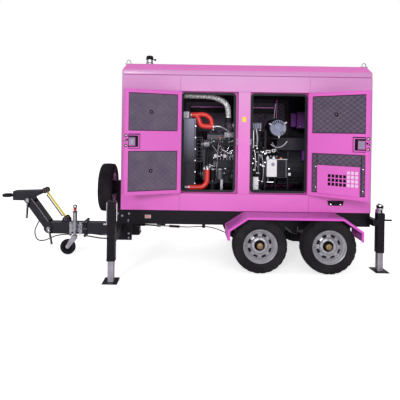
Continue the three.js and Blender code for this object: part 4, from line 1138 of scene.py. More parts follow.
def polar_plate(part, centre, axis, rows, thick, sectors, is_hole, material):
    """A dished disc through (radius, along) rows, with whole cells left out as holes."""
    axis = Vector(axis).normalized()
    across, up = side_frame(axis)
    centre = Vector(centre)
    n = len(rows)
    points = []
    for back in (0.0, thick):
        for radius, along in rows:
            for k in range(sectors):
                turn = 2 * math.pi * k / sectors
                points.append(centre + axis * (along - back) + (across * math.cos(turn) + up * math.sin(turn)) * radius)

    def at(layer, i, k):
        return (layer * n + i) * sectors + k % sectors

    def solid(i, k):
        return 0 <= i < n - 1 and not is_hole(i, k % sectors)

    faces = []
    for i in range(n - 1):
        for k in range(sectors):
            if not solid(i, k):
                continue
            faces.append((at(0, i, k), at(0, i, k + 1), at(0, i + 1, k + 1), at(0, i + 1, k)))
            faces.append((at(1, i, k), at(1, i + 1, k), at(1, i + 1, k + 1), at(1, i, k + 1)))
            for inner, edge in ((i - 1, i), (i + 1, i + 1)):
                if not solid(inner, k):
                    faces.append((at(0, edge, k), at(1, edge, k), at(1, edge, k + 1), at(0, edge, k + 1)))
            for beside, edge in ((k - 1, k), (k + 1, k + 1)):
                if not solid(i, beside):
                    faces.append((at(0, i, edge), at(0, i + 1, edge), at(1, i + 1, edge), at(1, i, edge)))
    used = sorted({v for face in faces for v in face})
    renumber = {v: k for k, v in enumerate(used)}
    part.add([points[v] for v in used], [tuple(renumber[v] for v in face) for face in faces], material)


def rim(part, centre, axis, hub):
    """Steel wheel: stepped rim, dished disc with eight slots, hub with nuts and a brass cap."""
    part.lathe([(0.080, 0.196), (0.086, 0.205), (0.083, 0.207), (0.076, 0.199), (0.058, 0.190), (0.052, 0.184),
                (0.046, 0.176), (0.020, 0.170), (-0.060, 0.170), (-0.070, 0.186), (-0.080, 0.196), (-0.083, 0.205),
                (-0.078, 0.205), (-0.073, 0.193), (-0.062, 0.180), (-0.055, 0.176), (0.014, 0.176), (0.040, 0.182),
                (0.046, 0.190), (0.066, 0.195)], centre, axis, SILVER, 64, True)
    rows = [(0.046, 0.034), (0.060, 0.034), (0.066, 0.026), (0.092, 0.022), (0.100, 0.028), (0.110, 0.044),
            (0.118, 0.050), (0.150, 0.036), (0.158, 0.024), (0.170, 0.018), (0.1745, 0.024)]
    polar_plate(part, centre, axis, rows, 0.005, 64, lambda i, k: i == 6 and k % 8 in (2, 3, 4, 5), SILVER)
    axis = Vector(axis)
    centre = Vector(centre)
    across, up = side_frame(axis)
    for k in range(6):
        turn = 2 * math.pi * (k + 0.5) / 6
        part.bolt(centre + axis * 0.0245 + (across * math.cos(turn) + up * math.sin(turn)) * 0.079, axis, 0.026)
    if hub:
        part.lathe([(0.010, 0.020), (0.010, 0.064), (0.031, 0.066), (0.034, 0.062), (0.034, 0.020)], centre, axis,
                   PLASTIC, 48, True)
        part.lathe([(0.030, 0.036), (0.048, 0.036), (0.052, 0.033), (0.054, 0.020), (0.054, 0.002)], centre, axis,
                   PLASTIC, 40)
        part.lathe([(0.050, 0.036), (0.064, 0.038), (0.070, 0.034), (0.072, 0.018), (0.0725, 0.002)], centre, axis,
                   BRASS, 40)
    else:
        part.lathe([(0.026, 0.048), (0.030, 0.050), (0.030, 0.046), (0.026, 0.044)], centre, axis, PLASTIC, 40, True)
    stem = centre + axis * 0.060 + across * 0.180
    part.rod(stem, stem + axis * 0.026 - across * 0.006, 0.005, HOSE_BLACK, 0.004, 10)


def wheel(tag, names, body, axis, hub):
    """One tyre and its rim. Gives back the unfinished rim and the wheel's centre."""
    low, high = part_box(f"tyre_{tag}")
    centre = (low + high) / 2
    carcass = Part(names[0], body, f"tyre_{tag}")
    tyre(carcass, centre, axis)
    carcass.finish(0.0)
    disc = Part(names[1], body, f"rim_{tag}")
    rim(disc, centre, axis, hub)
    return disc, centre


def wheels():
    """Four road wheels and the spare, which stands across the drawbar on three bolts."""
    for side in (NEAR, FAR):
        for end in ("front", "rear"):
            tag = f"{SIDE_NAMES[side]}_{end}"
            names = (f"tyre_carcass_{tag}", f"wheel_rim_{tag}")
            disc, _ = wheel(tag, names, f"wheel_{tag}", (0, side, 0), True)
            disc.finish(0.0008, 1)
    disc, centre = wheel("spare", ("spare_tyre", "spare_rim"), "chassis", (-1, 0, 0), False)
    for y, z in ((0.05, 0.0), (-0.025, 0.043), (-0.025, -0.043)):
        disc.rod(centre + Vector((0.060, y, z)), centre + Vector((-0.045, y, z)), 0.007, ZINC, sides=12)
    disc.finish(0.0008, 1)


# ---------------------------------------------------------------- engine bay

def radiator():
    """Core, side and end tanks, the ribbed filler block with its cap, the shroud and the fan guard."""
    low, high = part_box("radiator")
    part = Part("radiator_pack", "chassis", "radiator")
    half = high.y
    part.box((low.x + 0.020, -half + 0.040, low.z + 0.14), (high.x - 0.040, half - 0.040, high.z - 0.12), CORE)
    for side in (NEAR, FAR):
        wall_box(part, side, (low.x, high.x - 0.012), (half - 0.042, half), (low.z + 0.06, high.z), RADIATOR)
        wall_box(part, side, (low.x + 0.012, low.x + 0.020), (half, half + 0.004), (low.z + 0.08, high.z - 0.02), SATIN)
        wall_box(part, side, (high.x - 0.030, high.x - 0.022), (half, half + 0.004), (low.z + 0.08, high.z - 0.02),
                 SATIN)
        for k in range(6):
            part.bolt((high.x - 0.016, side * half, low.z + 0.14 + k * 0.15), (0, side, 0), 0.018, CHROME)
    part.box((low.x, -half + 0.02, high.z - 0.12), (high.x - 0.014, half - 0.02, high.z), RADIATOR)
    part.box((low.x, -half + 0.02, low.z + 0.04), (high.x - 0.014, half - 0.02, low.z + 0.14), RADIATOR)
    part.box((low.x + 0.004, -half + 0.005, low.z), (high.x - 0.010, half - 0.005, low.z + 0.04), BLACK)
    part.box((low.x, -half, high.z - 0.006), (high.x - 0.012, -half + 0.24, high.z + 0.004), IRON)
    neck = (low.x + 0.040, -0.335, high.z + 0.004)
    part.box((neck[0] - 0.048, neck[1] - 0.045, neck[2]), (neck[0] + 0.045, neck[1] + 0.045, neck[2] + 0.085), ALUMINIUM)
    for k in range(5):
        part.box((neck[0] - 0.050, neck[1] - 0.048, neck[2] + 0.010 + k * 0.015),
                 (neck[0] + 0.047, neck[1] + 0.047, neck[2] + 0.016 + k * 0.015), ZINC)
    part.lathe([(0.0, 0.030), (0.012, 0.034), (0.020, 0.034), (0.024, 0.012)], (neck[0], -0.19, neck[2]), UP,
               BRASS, 24)
    shroud(part, high.x)
    fan_guard(part, high.x)
    part.finish(0.0012, 1)
    fan()


def shroud(part, x):
    """The ring and cowl that lead air into the fan."""
    part.band((x - 0.014, 0, FAN_Z), ALONG_X, 0.318, 0.326, 0.030, SATIN, 48)
    outer = rounded(-0.385, 0.385, 1.02, 1.84, 0.02, 11)
    turns = [-90 + 360 * (k + 0.5) / len(outer) for k in range(len(outer))]
    inner = [around((0, 0, FAN_Z), 0.319, turn)[1:] for turn in turns]
    part.ring(outer, inner, "x", x - 0.020, x - 0.014, SATIN)


def fan_guard(part, x):
    """Wire guard between fan and engine, with a framed window on the near side."""
    y = -0.352
    corners = [(x, y, 1.315), (x + 0.078, y, 1.315), (x + 0.078, y, 1.632), (x, y, 1.632)]
    part.tube(bent(corners, 0.008), 0.0050, IRON, 8)
    for k in range(6):
        z = 1.352 + k * 0.049
        part.rod((x, y, z), (x + 0.078, y, z), 0.0032, IRON, sides=8)
    hub = (x + 0.062, 0, FAN_Z)
    for k in range(9):
        part.tube([around(hub, 0.07 + k * 0.030, 6 * n) for n in range(61)], 0.0020, IRON, 6)
    for k in range(8):
        turn = 22.5 + 45 * k
        part.rod(around(hub, 0.06, turn), around(hub, 0.312, turn), 0.0030, IRON, sides=8)


def fan():
    """Seven curved, twisted blades on a moulded hub."""
    low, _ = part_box("cooling_fan")
    centre = Vector((low.x + 0.026, 0, FAN_Z))
    part = Part("fan_rotor", "fan", "cooling_fan")
    part.lathe([(-0.024, 0.030), (-0.024, 0.075), (-0.018, 0.085), (0.018, 0.085), (0.024, 0.075), (0.024, 0.030)],
               centre, ALONG_X, PLASTIC, 40, True)
    part.rod(centre - Vector((0.022, 0, 0)), centre + Vector((0.024, 0, 0)), 0.034, STEEL, sides=24)
    for blade in range(7):
        base = 2 * math.pi * blade / 7
        loops = []
        for k in range(7):
            r = 0.080 + 0.224 * k / 6
            pitch = math.radians(38 - 18 * k / 6)
            sweep = base + 0.25 * (k / 6) ** 2
            chord = 0.040 + 0.016 * math.sin(math.pi * k / 6)
            loop = []
            for s, t in ((-1, 0.0), (-0.5, 0.0035), (0.0, 0.005), (0.5, 0.0035), (1, 0.0), (0.5, -0.0005),
                         (0.0, 0.0005), (-0.5, -0.0005)):
                along = chord * s * math.sin(pitch) * 0.55 + t * math.cos(pitch)
                turn = sweep + chord * s * math.cos(pitch) / r * 0.9
                loop.append(centre + Vector((along, r * math.cos(turn), r * math.sin(turn))))
            loops.append(loop)
        part.loft(loops, PLASTIC)
    part.finish(0.0)


def hoses():
    """Red coolant hoses with clips: a forked one at the top and an elbow at the bottom."""
    radius = 0.034
    part = Part("upper_red_hose", "chassis", "radiator_hose_upper")
    y = -0.345
    trunk = bent([(0.040, y, 1.925), (0.100, y, 1.930), (0.150, y, 1.925)], 0.03)
    part.tube(trunk, radius, HOSE_RED, 20)
    upper = bent([(0.110, y, 1.930), (0.230, y - 0.008, 1.942), (0.318, y, 1.885), (0.332, y, 1.780)], 0.085, 10)
    lower = bent([(0.110, y, 1.930), (0.150, y + 0.008, 1.880), (0.178, y, 1.785), (0.345, y, 1.775)], 0.085, 10)
    part.tube(upper, radius * 0.90, HOSE_RED, 20)
    part.tube(lower, radius, HOSE_RED, 20)
    part.clip((0.052, y, 1.926), ALONG_X, radius)
    part.clip((0.345, y, 1.775), ALONG_X, radius + 0.001, CHROME)
    part.rod((0.340, y, 1.775), (0.375, y, 1.775), radius * 0.8, ALUMINIUM, sides=20)
    part.tube(bent([(0.372, y, 1.780), (0.430, y, 1.782), (0.50, y + 0.02, 1.755), (0.590, y + 0.05, 1.690)], 0.04),
              0.013, CHROME, 12)
    part.finish(0.0008, 1)
    part = Part("lower_red_hose", "chassis", "radiator_hose_lower")
    y = -0.385
    part.tube(bent([(0.020, y, 0.975), (0.272, y, 0.975), (0.272, y, 1.225)], 0.13, 14), radius, HOSE_RED, 20)
    part.tube(bent([(0.272, y, 1.215), (0.272, y, 1.330), (0.290, y + 0.02, 1.470)], 0.06), 0.024, HOSE_BLACK, 16)
    for z in (1.218, 1.232):
        part.clip((0.272, y, z), UP, radius, CHROME)
    part.rod((0.272, y, 1.225), (0.272, y, 1.262), radius * 0.85, ALUMINIUM, sides=20)
    part.clip((0.036, y, 0.975), ALONG_X, radius, CHROME)
    part.rod((-0.02, y, 0.975), (0.024, y, 0.975), radius * 0.86, ALUMINIUM, sides=20)
    part.finish(0.0008, 1)


def engine():
    """Six-cylinder diesel, seen from its fuel side, on its feet over the bearers."""
    low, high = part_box("engine_block")
    part = Part("diesel_engine", "chassis", "engine_block")
    face = -0.262
    part.box((low.x + 0.10, face, 1.14), (high.x - 0.06, 0.262, 1.47), CAST)
    part.prism([(-0.150, 0.955), (0.150, 0.955), (0.225, 1.02), (0.225, 1.14), (-0.225, 1.14), (-0.225, 1.02)], "x",
               low.x + 0.12, high.x - 0.08, CAST)
    part.box((low.x + 0.11, face + 0.035, 1.475), (high.x - 0.07, 0.225, 1.600), CAST)
    part.prism([(-0.150, 1.602), (0.150, 1.602), (0.150, 1.665), (0.115, 1.705), (-0.115, 1.705), (-0.150, 1.665)],
               "x", low.x + 0.13, high.x - 0.09, IRON)
    for k in range(6):
        x = low.x + 0.185 + k * 0.118
        part.box((x - 0.006, face - 0.010, 1.16), (x + 0.006, face + 0.002, 1.45), CAST)
        part.rod((x + 0.055, face + 0.002, 1.385), (x + 0.055, face - 0.006, 1.385), 0.026, STEEL, sides=20)
        part.bolt((x + 0.030, face + 0.035, 1.580), (0, -1, 0), 0.020)
        part.bolt((x, -0.135, 1.706), UP, 0.022)
        part.bolt((x, 0.135, 1.706), UP, 0.022)
        part.bolt((x + 0.055, face, 1.155), (0, -1, 0), 0.020)
        part.bolt((x + 0.01, -0.226, 1.125), (0, -1, 0), 0.016)
    front_end(part, low.x)
    injection(part, low.x, face)
    turbocharger(part)
    fuel_side(part, face)
    flywheel_housing(part, high.x)
    for side in (NEAR, FAR):
        for x in (low.x + 0.20, high.x - 0.13):
            wall_box(part, side, (x - 0.055, x + 0.055), (0.225, 0.330), (1.02, 1.05), BLACK)
            wall_box(part, side, (x - 0.010, x + 0.010), (0.225, 0.320), (0.965, 1.03), BLACK)
            part.rod((x, side * 0.285, 0.905), (x, side * 0.285, 1.02), 0.040, HOSE_BLACK, sides=24)
            part.bolt((x, side * 0.285, 1.05), UP, 0.034)
    for side in (NEAR, FAR):
        wall_box(part, side, (low.x - 0.02, high.x), (0.250, 0.330), (0.889, 0.905), BLACK)
    part.finish(0.003, 2)


def pulley(part, x, y, z, radius, width=0.026):
    """A grooved wheel with its hub and bolt."""
    profile = [(0, radius * 0.35), (0, radius), (width * 0.2, radius), (width * 0.4, radius * 0.90),
               (width * 0.6, radius * 0.90), (width * 0.8, radius), (width, radius), (width, radius * 0.35)]
    part.lathe(profile, (x, y, z), ALONG_X, STEEL, 32, True)
    part.rod((x - 0.004, y, z), (x + width, y, z), radius * 0.36, IRON, sides=20)
    part.bolt((x - 0.004, y, z), (-1, 0, 0), radius * 0.5)


def front_end(part, x):
    """Timing cover, pulleys, belt and the charging alternator."""
    part.box((x + 0.075, -0.20, 1.05), (x + 0.105, 0.20, 1.56), IRON)
    wheels_at = [(0.0, 1.12, 0.095), (0.0, FAN_Z, 0.070), (-0.235, 1.54, 0.040)]
    for y, z, radius in wheels_at:
        pulley(part, x + 0.045, y, z, radius)
    belt = []
    for (y, z, r), (start, end) in zip(wheels_at, ((-200, 20), (0, 100), (75, 215))):
        belt += [around((x + 0.058, y, z), r * 0.97, start + (end - start) * k / 8) for k in range(9)]
    belt.append(belt[0])
    part.tube(belt, 0.0065, HOSE_BLACK, 8)
    part.lathe([(0.0, 0.040), (0.004, 0.062), (0.075, 0.062), (0.082, 0.045), (0.095, 0.030)],
               (x + 0.075, -0.235, 1.54), ALONG_X, ALUMINIUM, 32)
    for turn in range(0, 360, 36):
        vane = around((x + 0.115, -0.235, 1.54), 0.062, turn)
        part.block(vane, (0.055, 0.004, 0.010), PLASTIC, (turn + 90, 0, 0))


def injection(part, x, face):
    """Inline pump, six steel delivery lines, injectors and the wiring rail."""
    part.box((x + 0.235, face - 0.052, 1.235), (x + 0.505, face + 0.01, 1.335), CAST)
    part.rod((x + 0.205, face - 0.030, 1.285), (x + 0.235, face - 0.030, 1.285), 0.046, IRON, sides=24)
    part.rod((x + 0.505, face - 0.030, 1.285), (x + 0.565, face - 0.030, 1.285), 0.032, CAST, sides=24)
    for k in range(6):
        low = (x + 0.262 + k * 0.042, face - 0.040, 1.335)
        port = (x + 0.185 + k * 0.118, face + 0.020, 1.560)
        part.rod(low, (low[0], low[1], low[2] + 0.030), 0.009, ZINC, sides=6)
        middle = ((low[0] + port[0]) / 2 + 0.02, face - 0.050, 1.46 + 0.008 * k)
        part.tube(bent([(low[0], low[1], low[2] + 0.028), (low[0], low[1], 1.420), middle,
                        (port[0], face - 0.040, 1.535), port], 0.035), 0.0034, CHROME, 8)
        part.rod(port, (port[0], port[1], port[2] + 0.028), 0.011, ZINC, sides=6)
        part.lathe([(0.0, 0.010), (0.0, 0.014), (0.034, 0.012), (0.040, 0.006)],
                   (port[0], face + 0.050, 1.600), (0, -0.3, 1), CHROME if k % 2 else ALUMINIUM, 16)
    loom = dense(bent([(x + 0.12, face - 0.012, 1.500), (x + 0.40, face - 0.030, 1.515), (x + 0.62, face - 0.025, 1.490),
                       (x + 0.86, face - 0.012, 1.500)], 0.08), 0.006)
    part.tube(loom, 0.010, HOSE_BLACK, 10, lambda k: 1.0 + 0.14 * (k % 2))


def turbocharger(part):
    """Compressor and turbine housings over the inlet elbow, with a ribbed block below."""
    centre = Vector((0.562, -0.250, 1.775))
    part.lathe([(-0.045, 0.020), (-0.045, 0.052), (-0.030, 0.074), (0.0, 0.080), (0.024, 0.070), (0.034, 0.046)],
               centre, (1, 0.25, 0.2), IRON, 32)
    part.lathe([(0.034, 0.034), (0.060, 0.058), (0.084, 0.060), (0.098, 0.040)], centre, (1, 0.25, 0.2), STEEL, 32)
    part.rod(centre, centre + Vector((0, 0, 0.066)), 0.036, IRON, sides=24)
    part.clip(centre + Vector((0, 0, 0.056)), UP, 0.037)
    part.box((0.500, -0.300, 1.640), (0.640, -0.215, 1.700), IRON)
    for k in range(9):
        part.box((0.503 + k * 0.0155, -0.308, 1.636), (0.510 + k * 0.0155, -0.212, 1.704), ZINC)


def fuel_side(part, face):
    """Filters, starter, brackets, straps, sensors, dipstick and small pipes on the near side."""
    for x, radius in ((0.352, 0.042), (0.446, 0.042)):
        part.lathe([(0.0, 0.018), (0.006, radius), (0.120, radius), (0.128, radius * 0.8)], (x, face - 0.045, 1.075),
                   UP, PLASTIC if x < 0.4 else IRON, 32)
        part.rod((x, face - 0.045, 1.203), (x, face - 0.045, 1.222), 0.046, ALUMINIUM, sides=32)
    part.rod((0.565, face - 0.040, 1.115), (0.800, face - 0.040, 1.115), 0.048, CAST, sides=32)
    part.rod((0.610, face - 0.062, 1.190), (0.760, face - 0.062, 1.190), 0.027, IRON, sides=24)
    part.rod((0.600, face - 0.040, 1.115), (0.606, face - 0.040, 1.115), 0.050, ZINC, sides=32)
    part.box((0.455, face - 0.030, 0.905), (0.488, face - 0.010, 1.110), ZINC)
    part.box((0.462, face - 0.034, 0.905), (0.481, face - 0.030, 1.110), STEEL)
    part.tube(bent([(0.395, face - 0.02, 1.06), (0.400, face - 0.05, 1.20), (0.420, face - 0.04, 1.52),
                    (0.440, face + 0.02, 1.62)], 0.08), 0.006, STEEL, 10)
    part.tube([(0.440, face + 0.02, 1.62), (0.443, face + 0.02, 1.64)], 0.011, ORANGE, 12)
    for k in range(26):
        x = rng.uniform(0.28, 0.62) if k < 17 else rng.uniform(0.84, 1.03)
        z = rng.uniform(1.10, 1.60)
        part.bolt((x, face - rng.uniform(0.0, 0.012), z), (0, -1, 0), rng.uniform(0.012, 0.020),
                  CHROME if k % 3 == 0 else ZINC)
    for k in range(9):
        x, z = rng.uniform(0.30, 0.60), rng.uniform(1.08, 1.60)
        end = (x + rng.uniform(-0.09, 0.12), face - 0.02, z + rng.uniform(-0.10, 0.10))
        mid = ((x + end[0]) / 2, face - rng.uniform(0.045, 0.065), (z + end[2]) / 2 + 0.03)
        part.tube(bent([(x, face, z), mid, end], 0.05), rng.uniform(0.003, 0.006), (STEEL, HOSE_BLACK, IRON)[k % 3], 8)
    for k in range(6):
        x, z = 0.31 + 0.052 * k, (1.235, 1.36, 1.205, 1.40, 1.22, 1.37)[k]
        part.box((x - 0.016, face - 0.030, z - 0.012), (x + 0.014, face, z + 0.012), (IRON, PLASTIC)[k % 2])
        part.bolt((x, face - 0.030, z), (0, -1, 0), 0.015, CHROME)
    part.block((0.525, face - 0.03, 1.445), (0.150, 0.006, 0.010), STEEL, (0, 28, 0))
    part.block((0.610, face - 0.03, 1.455), (0.110, 0.006, 0.008), STEEL, (0, -42, 0))
    part.block((0.325, face - 0.05, 1.258), (0.110, 0.030, 0.014), ALUMINIUM, (0, 4, 0))


def flywheel_housing(part, x):
    """Bell housing and its ring of bolts."""
    part.lathe([(-0.060, 0.10), (-0.060, 0.255), (-0.045, 0.275), (-0.001, 0.300), (-0.001, 0.10)],
               (x, 0, SHAFT_Z), ALONG_X, CAST, 64, True)
    for k in range(16):
        part.bolt(around((x - 0.050, 0, SHAFT_Z), 0.264, 22.5 * (k + 0.5)), (-1, 0, 0), 0.018)


def generator_end():
    """Brushless alternator with vented ends and a terminal box."""
    low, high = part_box("alternator")
    part = Part("generator_end", "chassis", "alternator")
    z, radius = SHAFT_Z, 0.250
    length = high.x - low.x
    part.lathe([(0.0, 0.10), (0.0, radius), (0.060, radius), (0.066, radius - 0.016), (0.16, radius - 0.016),
                (0.166, radius - 0.002), (length - 0.15, radius - 0.002), (length - 0.145, radius - 0.020),
                (length - 0.03, radius - 0.030), (length, radius - 0.070), (length, 0.10)], (low.x, 0, z), ALONG_X,
               CAST, 64, True)
    for k in range(28):
        turn = 360 * k / 28
        part.block(around((low.x + 0.112, 0, z), 0.240, turn), (0.080, 0.018, 0.012), PLASTIC, (turn, 0, 0))
    for turn in range(0, 360, 15):
        rib = around((low.x + 0.33, 0, z), radius + 0.003, turn)
        part.block(rib, (0.32, 0.014, 0.008), CAST, (turn, 0, 0))
    part.box((low.x + 0.13, -0.200, z + 0.225), (high.x - 0.12, 0.200, high.z - 0.006), SATIN)
    part.box((low.x + 0.12, -0.212, high.z - 0.010), (high.x - 0.11, 0.212, high.z), SATIN)
    for y in (-0.190, 0.190):
        wall_box(part, 1, (low.x + 0.05, high.x - 0.05), (y - 0.035, y + 0.035), (low.z, low.z + 0.016), BLACK)
        wall_box(part, 1, (low.x + 0.10, low.x + 0.115), (y - 0.03, y + 0.03), (low.z + 0.01, z - 0.14), BLACK)
        wall_box(part, 1, (high.x - 0.16, high.x - 0.145), (y - 0.03, y + 0.03), (low.z + 0.01, z - 0.14), BLACK)
    part.finish(0.002, 1)


def air_cleaner():
    """Black canister with a grey ribbed end cap facing the near doorway."""
    low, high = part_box("air_filter")
    centre = Vector((1.202, low.y, (low.z + high.z) / 2))
    part = Part("air_cleaner", "chassis", "air_filter")
    part.lathe([(0.026, 0.085), (0.016, 0.122), (0.008, 0.126), (0.030, 0.1285), (0.045, 0.1285), (0.050, 0.1225),
                (0.290, 0.1225), (0.300, 0.118), (0.325, 0.070), (0.330, 0.040)], centre, ALONG_Y, PLASTIC, 56)
    part.lathe([(0.004, 0.004), (0.004, 0.030), (0.008, 0.034), (0.008, 0.086), (0.002, 0.094), (0.002, 0.102),
                (0.012, 0.107), (0.026, 0.107)], centre, ALONG_Y, GREY_PLASTIC, 56)
    for k in range(16):
        a = 2 * math.pi * k / 16
        spoke = centre + Vector((0.060 * math.cos(a), 0.005, 0.060 * math.sin(a)))
        part.block(spoke, (0.050, 0.008, 0.005), GREY_PLASTIC, (0, -math.degrees(a), 0))
    # Dark blocks on the cap stand in for its slots: painted shade in place of openings.
    for degrees in [38 + 17 * k for k in range(7)] + [-62, -40]:
        a = math.radians(degrees)
        slot = centre + Vector((0.082 * math.cos(a), 0.0005, 0.082 * math.sin(a)))
        part.block(slot, (0.034, 0.004, 0.011), PLASTIC, (0, -degrees, 0))
    for k in range(3):
        a = math.radians(35 + 120 * k)
        clasp = centre + Vector((0.118 * math.cos(a), 0.006, 0.118 * math.sin(a)))
        part.block(clasp, (0.034, 0.008, 0.020), STEEL, (0, -math.degrees(a), 0))
    part.tube(bent([(1.10, -0.20, 1.69), (0.98, -0.24, 1.60), (0.70, -0.25, 1.735), (0.665, -0.25, 1.80)], 0.10, 8),
              0.036, HOSE_BLACK, 20)
    arc = [(1.202 + 0.150 * math.cos(a), low.y + 0.015, 1.715 + 0.200 * math.sin(a)) for a in
           (math.radians(-128 + 92 * k / 14) for k in range(15))]
    part.tube(arc, 0.010, STEEL, 10)
    part.block((1.202, low.y + 0.05, 1.630), (0.180, 0.060, 0.012), BLACK)
    part.tube([(1.150, low.y + 0.03, 1.895), (1.165, low.y + 0.02, 2.09)], 0.0045, STEEL, 8)
    part.finish(0.0012, 1)


def switchgear():
    """Regulator box, relay rack, wiring blocks, coolant bottle and pipes beside the alternator."""
    part = Part("switchgear_group", "chassis")
    y = -0.365
    part.box((1.060, y, 1.125), (1.192, y + 0.070, 1.352), WHITE_PLASTIC)
    part.box((1.066, y - 0.004, 1.131), (1.186, y, 1.346), WHITE_PLASTIC)
    for x in (1.072, 1.180):
        for z in (1.138, 1.339):
            part.bolt((x, y - 0.004, z), (0, -1, 0), 0.009)
    part.rod((1.140, y - 0.004, 1.290), (1.140, y - 0.006, 1.290), 0.024, GREY_PLASTIC, sides=24)
    part.box((1.205, y - 0.006, 1.115), (1.325, y + 0.070, 1.345), SATIN)
    for k in range(9):
        part.box((1.212, y - 0.012, 1.130 + k * 0.0235), (1.300, y - 0.006, 1.142 + k * 0.0235), PLASTIC)
    part.box((1.304, y - 0.012, 1.120), (1.322, y - 0.006, 1.345), IRON)
    part.box((1.050, y + 0.005, 1.352), (1.330, y + 0.070, 1.362), ZINC)
    part.box((1.230, y - 0.004, 1.362), (1.256, y + 0.020, 1.382), ORANGE)
    for k in range(4):
        part.box((1.055 + k * 0.040, y - 0.004, 1.362), (1.085 + k * 0.040, y + 0.030, 1.390),
                 (WHITE_PLASTIC, PLASTIC)[k % 2])
        part.rod((1.070 + k * 0.040, y + 0.01, 1.390), (1.070 + k * 0.040, y + 0.01, 1.405), 0.007, CHROME)
    for x, z, wide in ((1.045, 1.440, 0.060), (1.125, 1.452, 0.045)):
        part.box((x, y + 0.004, z), (x + wide, y + 0.040, z + 0.036), WHITE_PLASTIC)
        part.box((x + 0.008, y, z + 0.008), (x + wide - 0.010, y + 0.004, z + 0.026), PLASTIC)
    part.box((1.065, y, 1.050), (1.150, y + 0.05, 1.062), CHROME)
    part.box((1.070, y + 0.004, 1.062), (1.085, y + 0.05, 1.115), IRON)
    part.box((1.345, y, 1.145), (1.375, y + 0.030, 1.180), WHITE_PLASTIC)
    part.rod((1.350, y + 0.01, 1.235), (1.350, y - 0.006, 1.235), 0.010, CHROME)
    part.box((0.862, y + 0.020, 1.755), (0.985, y + 0.10, 1.835), IRON)
    for k in range(4):
        part.box((0.870 + 0.030 * k, y + 0.014, 1.762), (0.886 + 0.030 * k, y + 0.020, 1.828), GREY_PLASTIC)
    bottle(part, 0.915, y, 0.955)
    pipes(part, y)
    for x in (0.845, 1.030):
        part.box((x, y + 0.030, 0.905), (x + 0.022, y + 0.052, 1.740), BLACK)
    part.box((1.340, y + 0.06, 0.900), (1.360, y + 0.09, 1.46), BLACK)
    part.finish(0.0012, 1)


def bottle(part, x, y, z):
    """Coolant recovery bottle with a cap."""
    part.box((x - 0.036, y - 0.006, z), (x + 0.034, y + 0.060, z + 0.165), WHITE_PLASTIC)
    part.rod((x, y + 0.025, z + 0.165), (x, y + 0.025, z + 0.190), 0.018, PLASTIC, sides=20)
    part.box((x - 0.042, y - 0.010, z + 0.050), (x + 0.040, y + 0.062, z + 0.062), STEEL)


def pipes(part, y):
    """Upright pipes, hoses and conduits at the doorway's front edge."""
    uprights = ((0.880, 0.014, CHROME, 1.50, 1.74), (0.925, 0.017, ALUMINIUM, 1.52, 1.76),
                (0.962, 0.011, HOSE_BLACK, 1.40, 1.75), (0.905, 0.009, CHROME, 1.20, 1.48),
                (0.950, 0.012, IRON, 1.16, 1.46), (0.985, 0.010, HOSE_BLACK, 0.93, 1.42),
                (1.010, 0.008, STEEL, 1.05, 1.40))
    for k, (x, radius, material, low, high) in enumerate(uprights):
        lean = 0.012 * math.sin(k * 2.3)
        path = bent([(x, y + 0.03, low), (x + lean, y + 0.01, (low + high) / 2), (x - lean, y + 0.03, high)], 0.08)
        part.tube(path, radius, material, 14)
        part.clip((x, y + 0.03, low + 0.012), UP, radius + 0.001, CHROME)
        part.clip((x - lean, y + 0.03, high - 0.012), UP, radius + 0.001)
    for k in range(14):
        x, z = rng.uniform(0.87, 1.05), rng.uniform(0.95, 1.50)
        part.bolt((x, y + rng.uniform(0.0, 0.02), z), (0, -1, 0), rng.uniform(0.012, 0.022), CHROME)
    for k in range(8):
        x, z = rng.uniform(0.87, 1.20), rng.uniform(1.36, 1.60)
        end = (x + rng.uniform(-0.12, 0.12), y + 0.05, z + rng.uniform(-0.20, -0.05))
        mid = ((x + end[0]) / 2, y + 0.005, (z + end[2]) / 2 - 0.03)
        part.tube(bent([(x, y + 0.05, z), mid, end], 0.06), 0.005, (HOSE_BLACK, STEEL)[k % 2], 8)


def control_panel():
    """Rear control cabinet: framed window, gauges, buttons, sockets and the main breaker."""
    low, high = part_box("control_panel")
    part = Part("control_cabinet", "chassis", "control_panel")
    face = high.x - 0.030
    part.box((low.x, low.y, low.z), (face, high.y, high.z), SATIN)
    part.ring(rounded(low.y, high.y, low.z, high.z, 0.004), rounded(low.y + 0.018, high.y - 0.018, low.z + 0.018,
              high.z - 0.018, 0.010), "x", face, high.x, PLASTIC)
    part.box((face, -0.235, 1.640), (face + 0.012, -0.020, 1.800), PLASTIC)
    part.box((face + 0.012, -0.205, 1.668), (face + 0.014, -0.075, 1.775), GLASS)
    for k in range(4):
        part.rod((face + 0.012, -0.055, 1.672 + k * 0.032), (face + 0.016, -0.055, 1.672 + k * 0.032), 0.008,
                 (GREEN, RED, GREY_PLASTIC, GREY_PLASTIC)[k])
    for k in range(3):
        dial(part, (face, 0.060 + k * 0.075, 1.745))
    part.rod((face, 0.080, 1.635), (face + 0.010, 0.080, 1.635), 0.026, YELLOW, sides=24)
    part.rod((face + 0.010, 0.080, 1.635), (face + 0.030, 0.080, 1.635), 0.013, RED, sides=20)
    part.rod((face + 0.020, 0.080, 1.635), (face + 0.029, 0.080, 1.635), 0.021, RED, sides=24)
    part.rod((face, 0.160, 1.635), (face + 0.014, 0.160, 1.635), 0.015, CHROME, sides=24)
    part.box((face + 0.014, 0.158, 1.622), (face + 0.020, 0.162, 1.648), PLASTIC)
    part.box((face, -0.235, 1.400), (face + 0.020, -0.050, 1.600), GREY_PLASTIC)
    part.box((face + 0.020, -0.165, 1.470), (face + 0.028, -0.120, 1.530), PLASTIC)
    for k in range(3):
        socket(part, (face, 0.035 + k * 0.095, 1.490))
    part.finish(0.0015, 1)


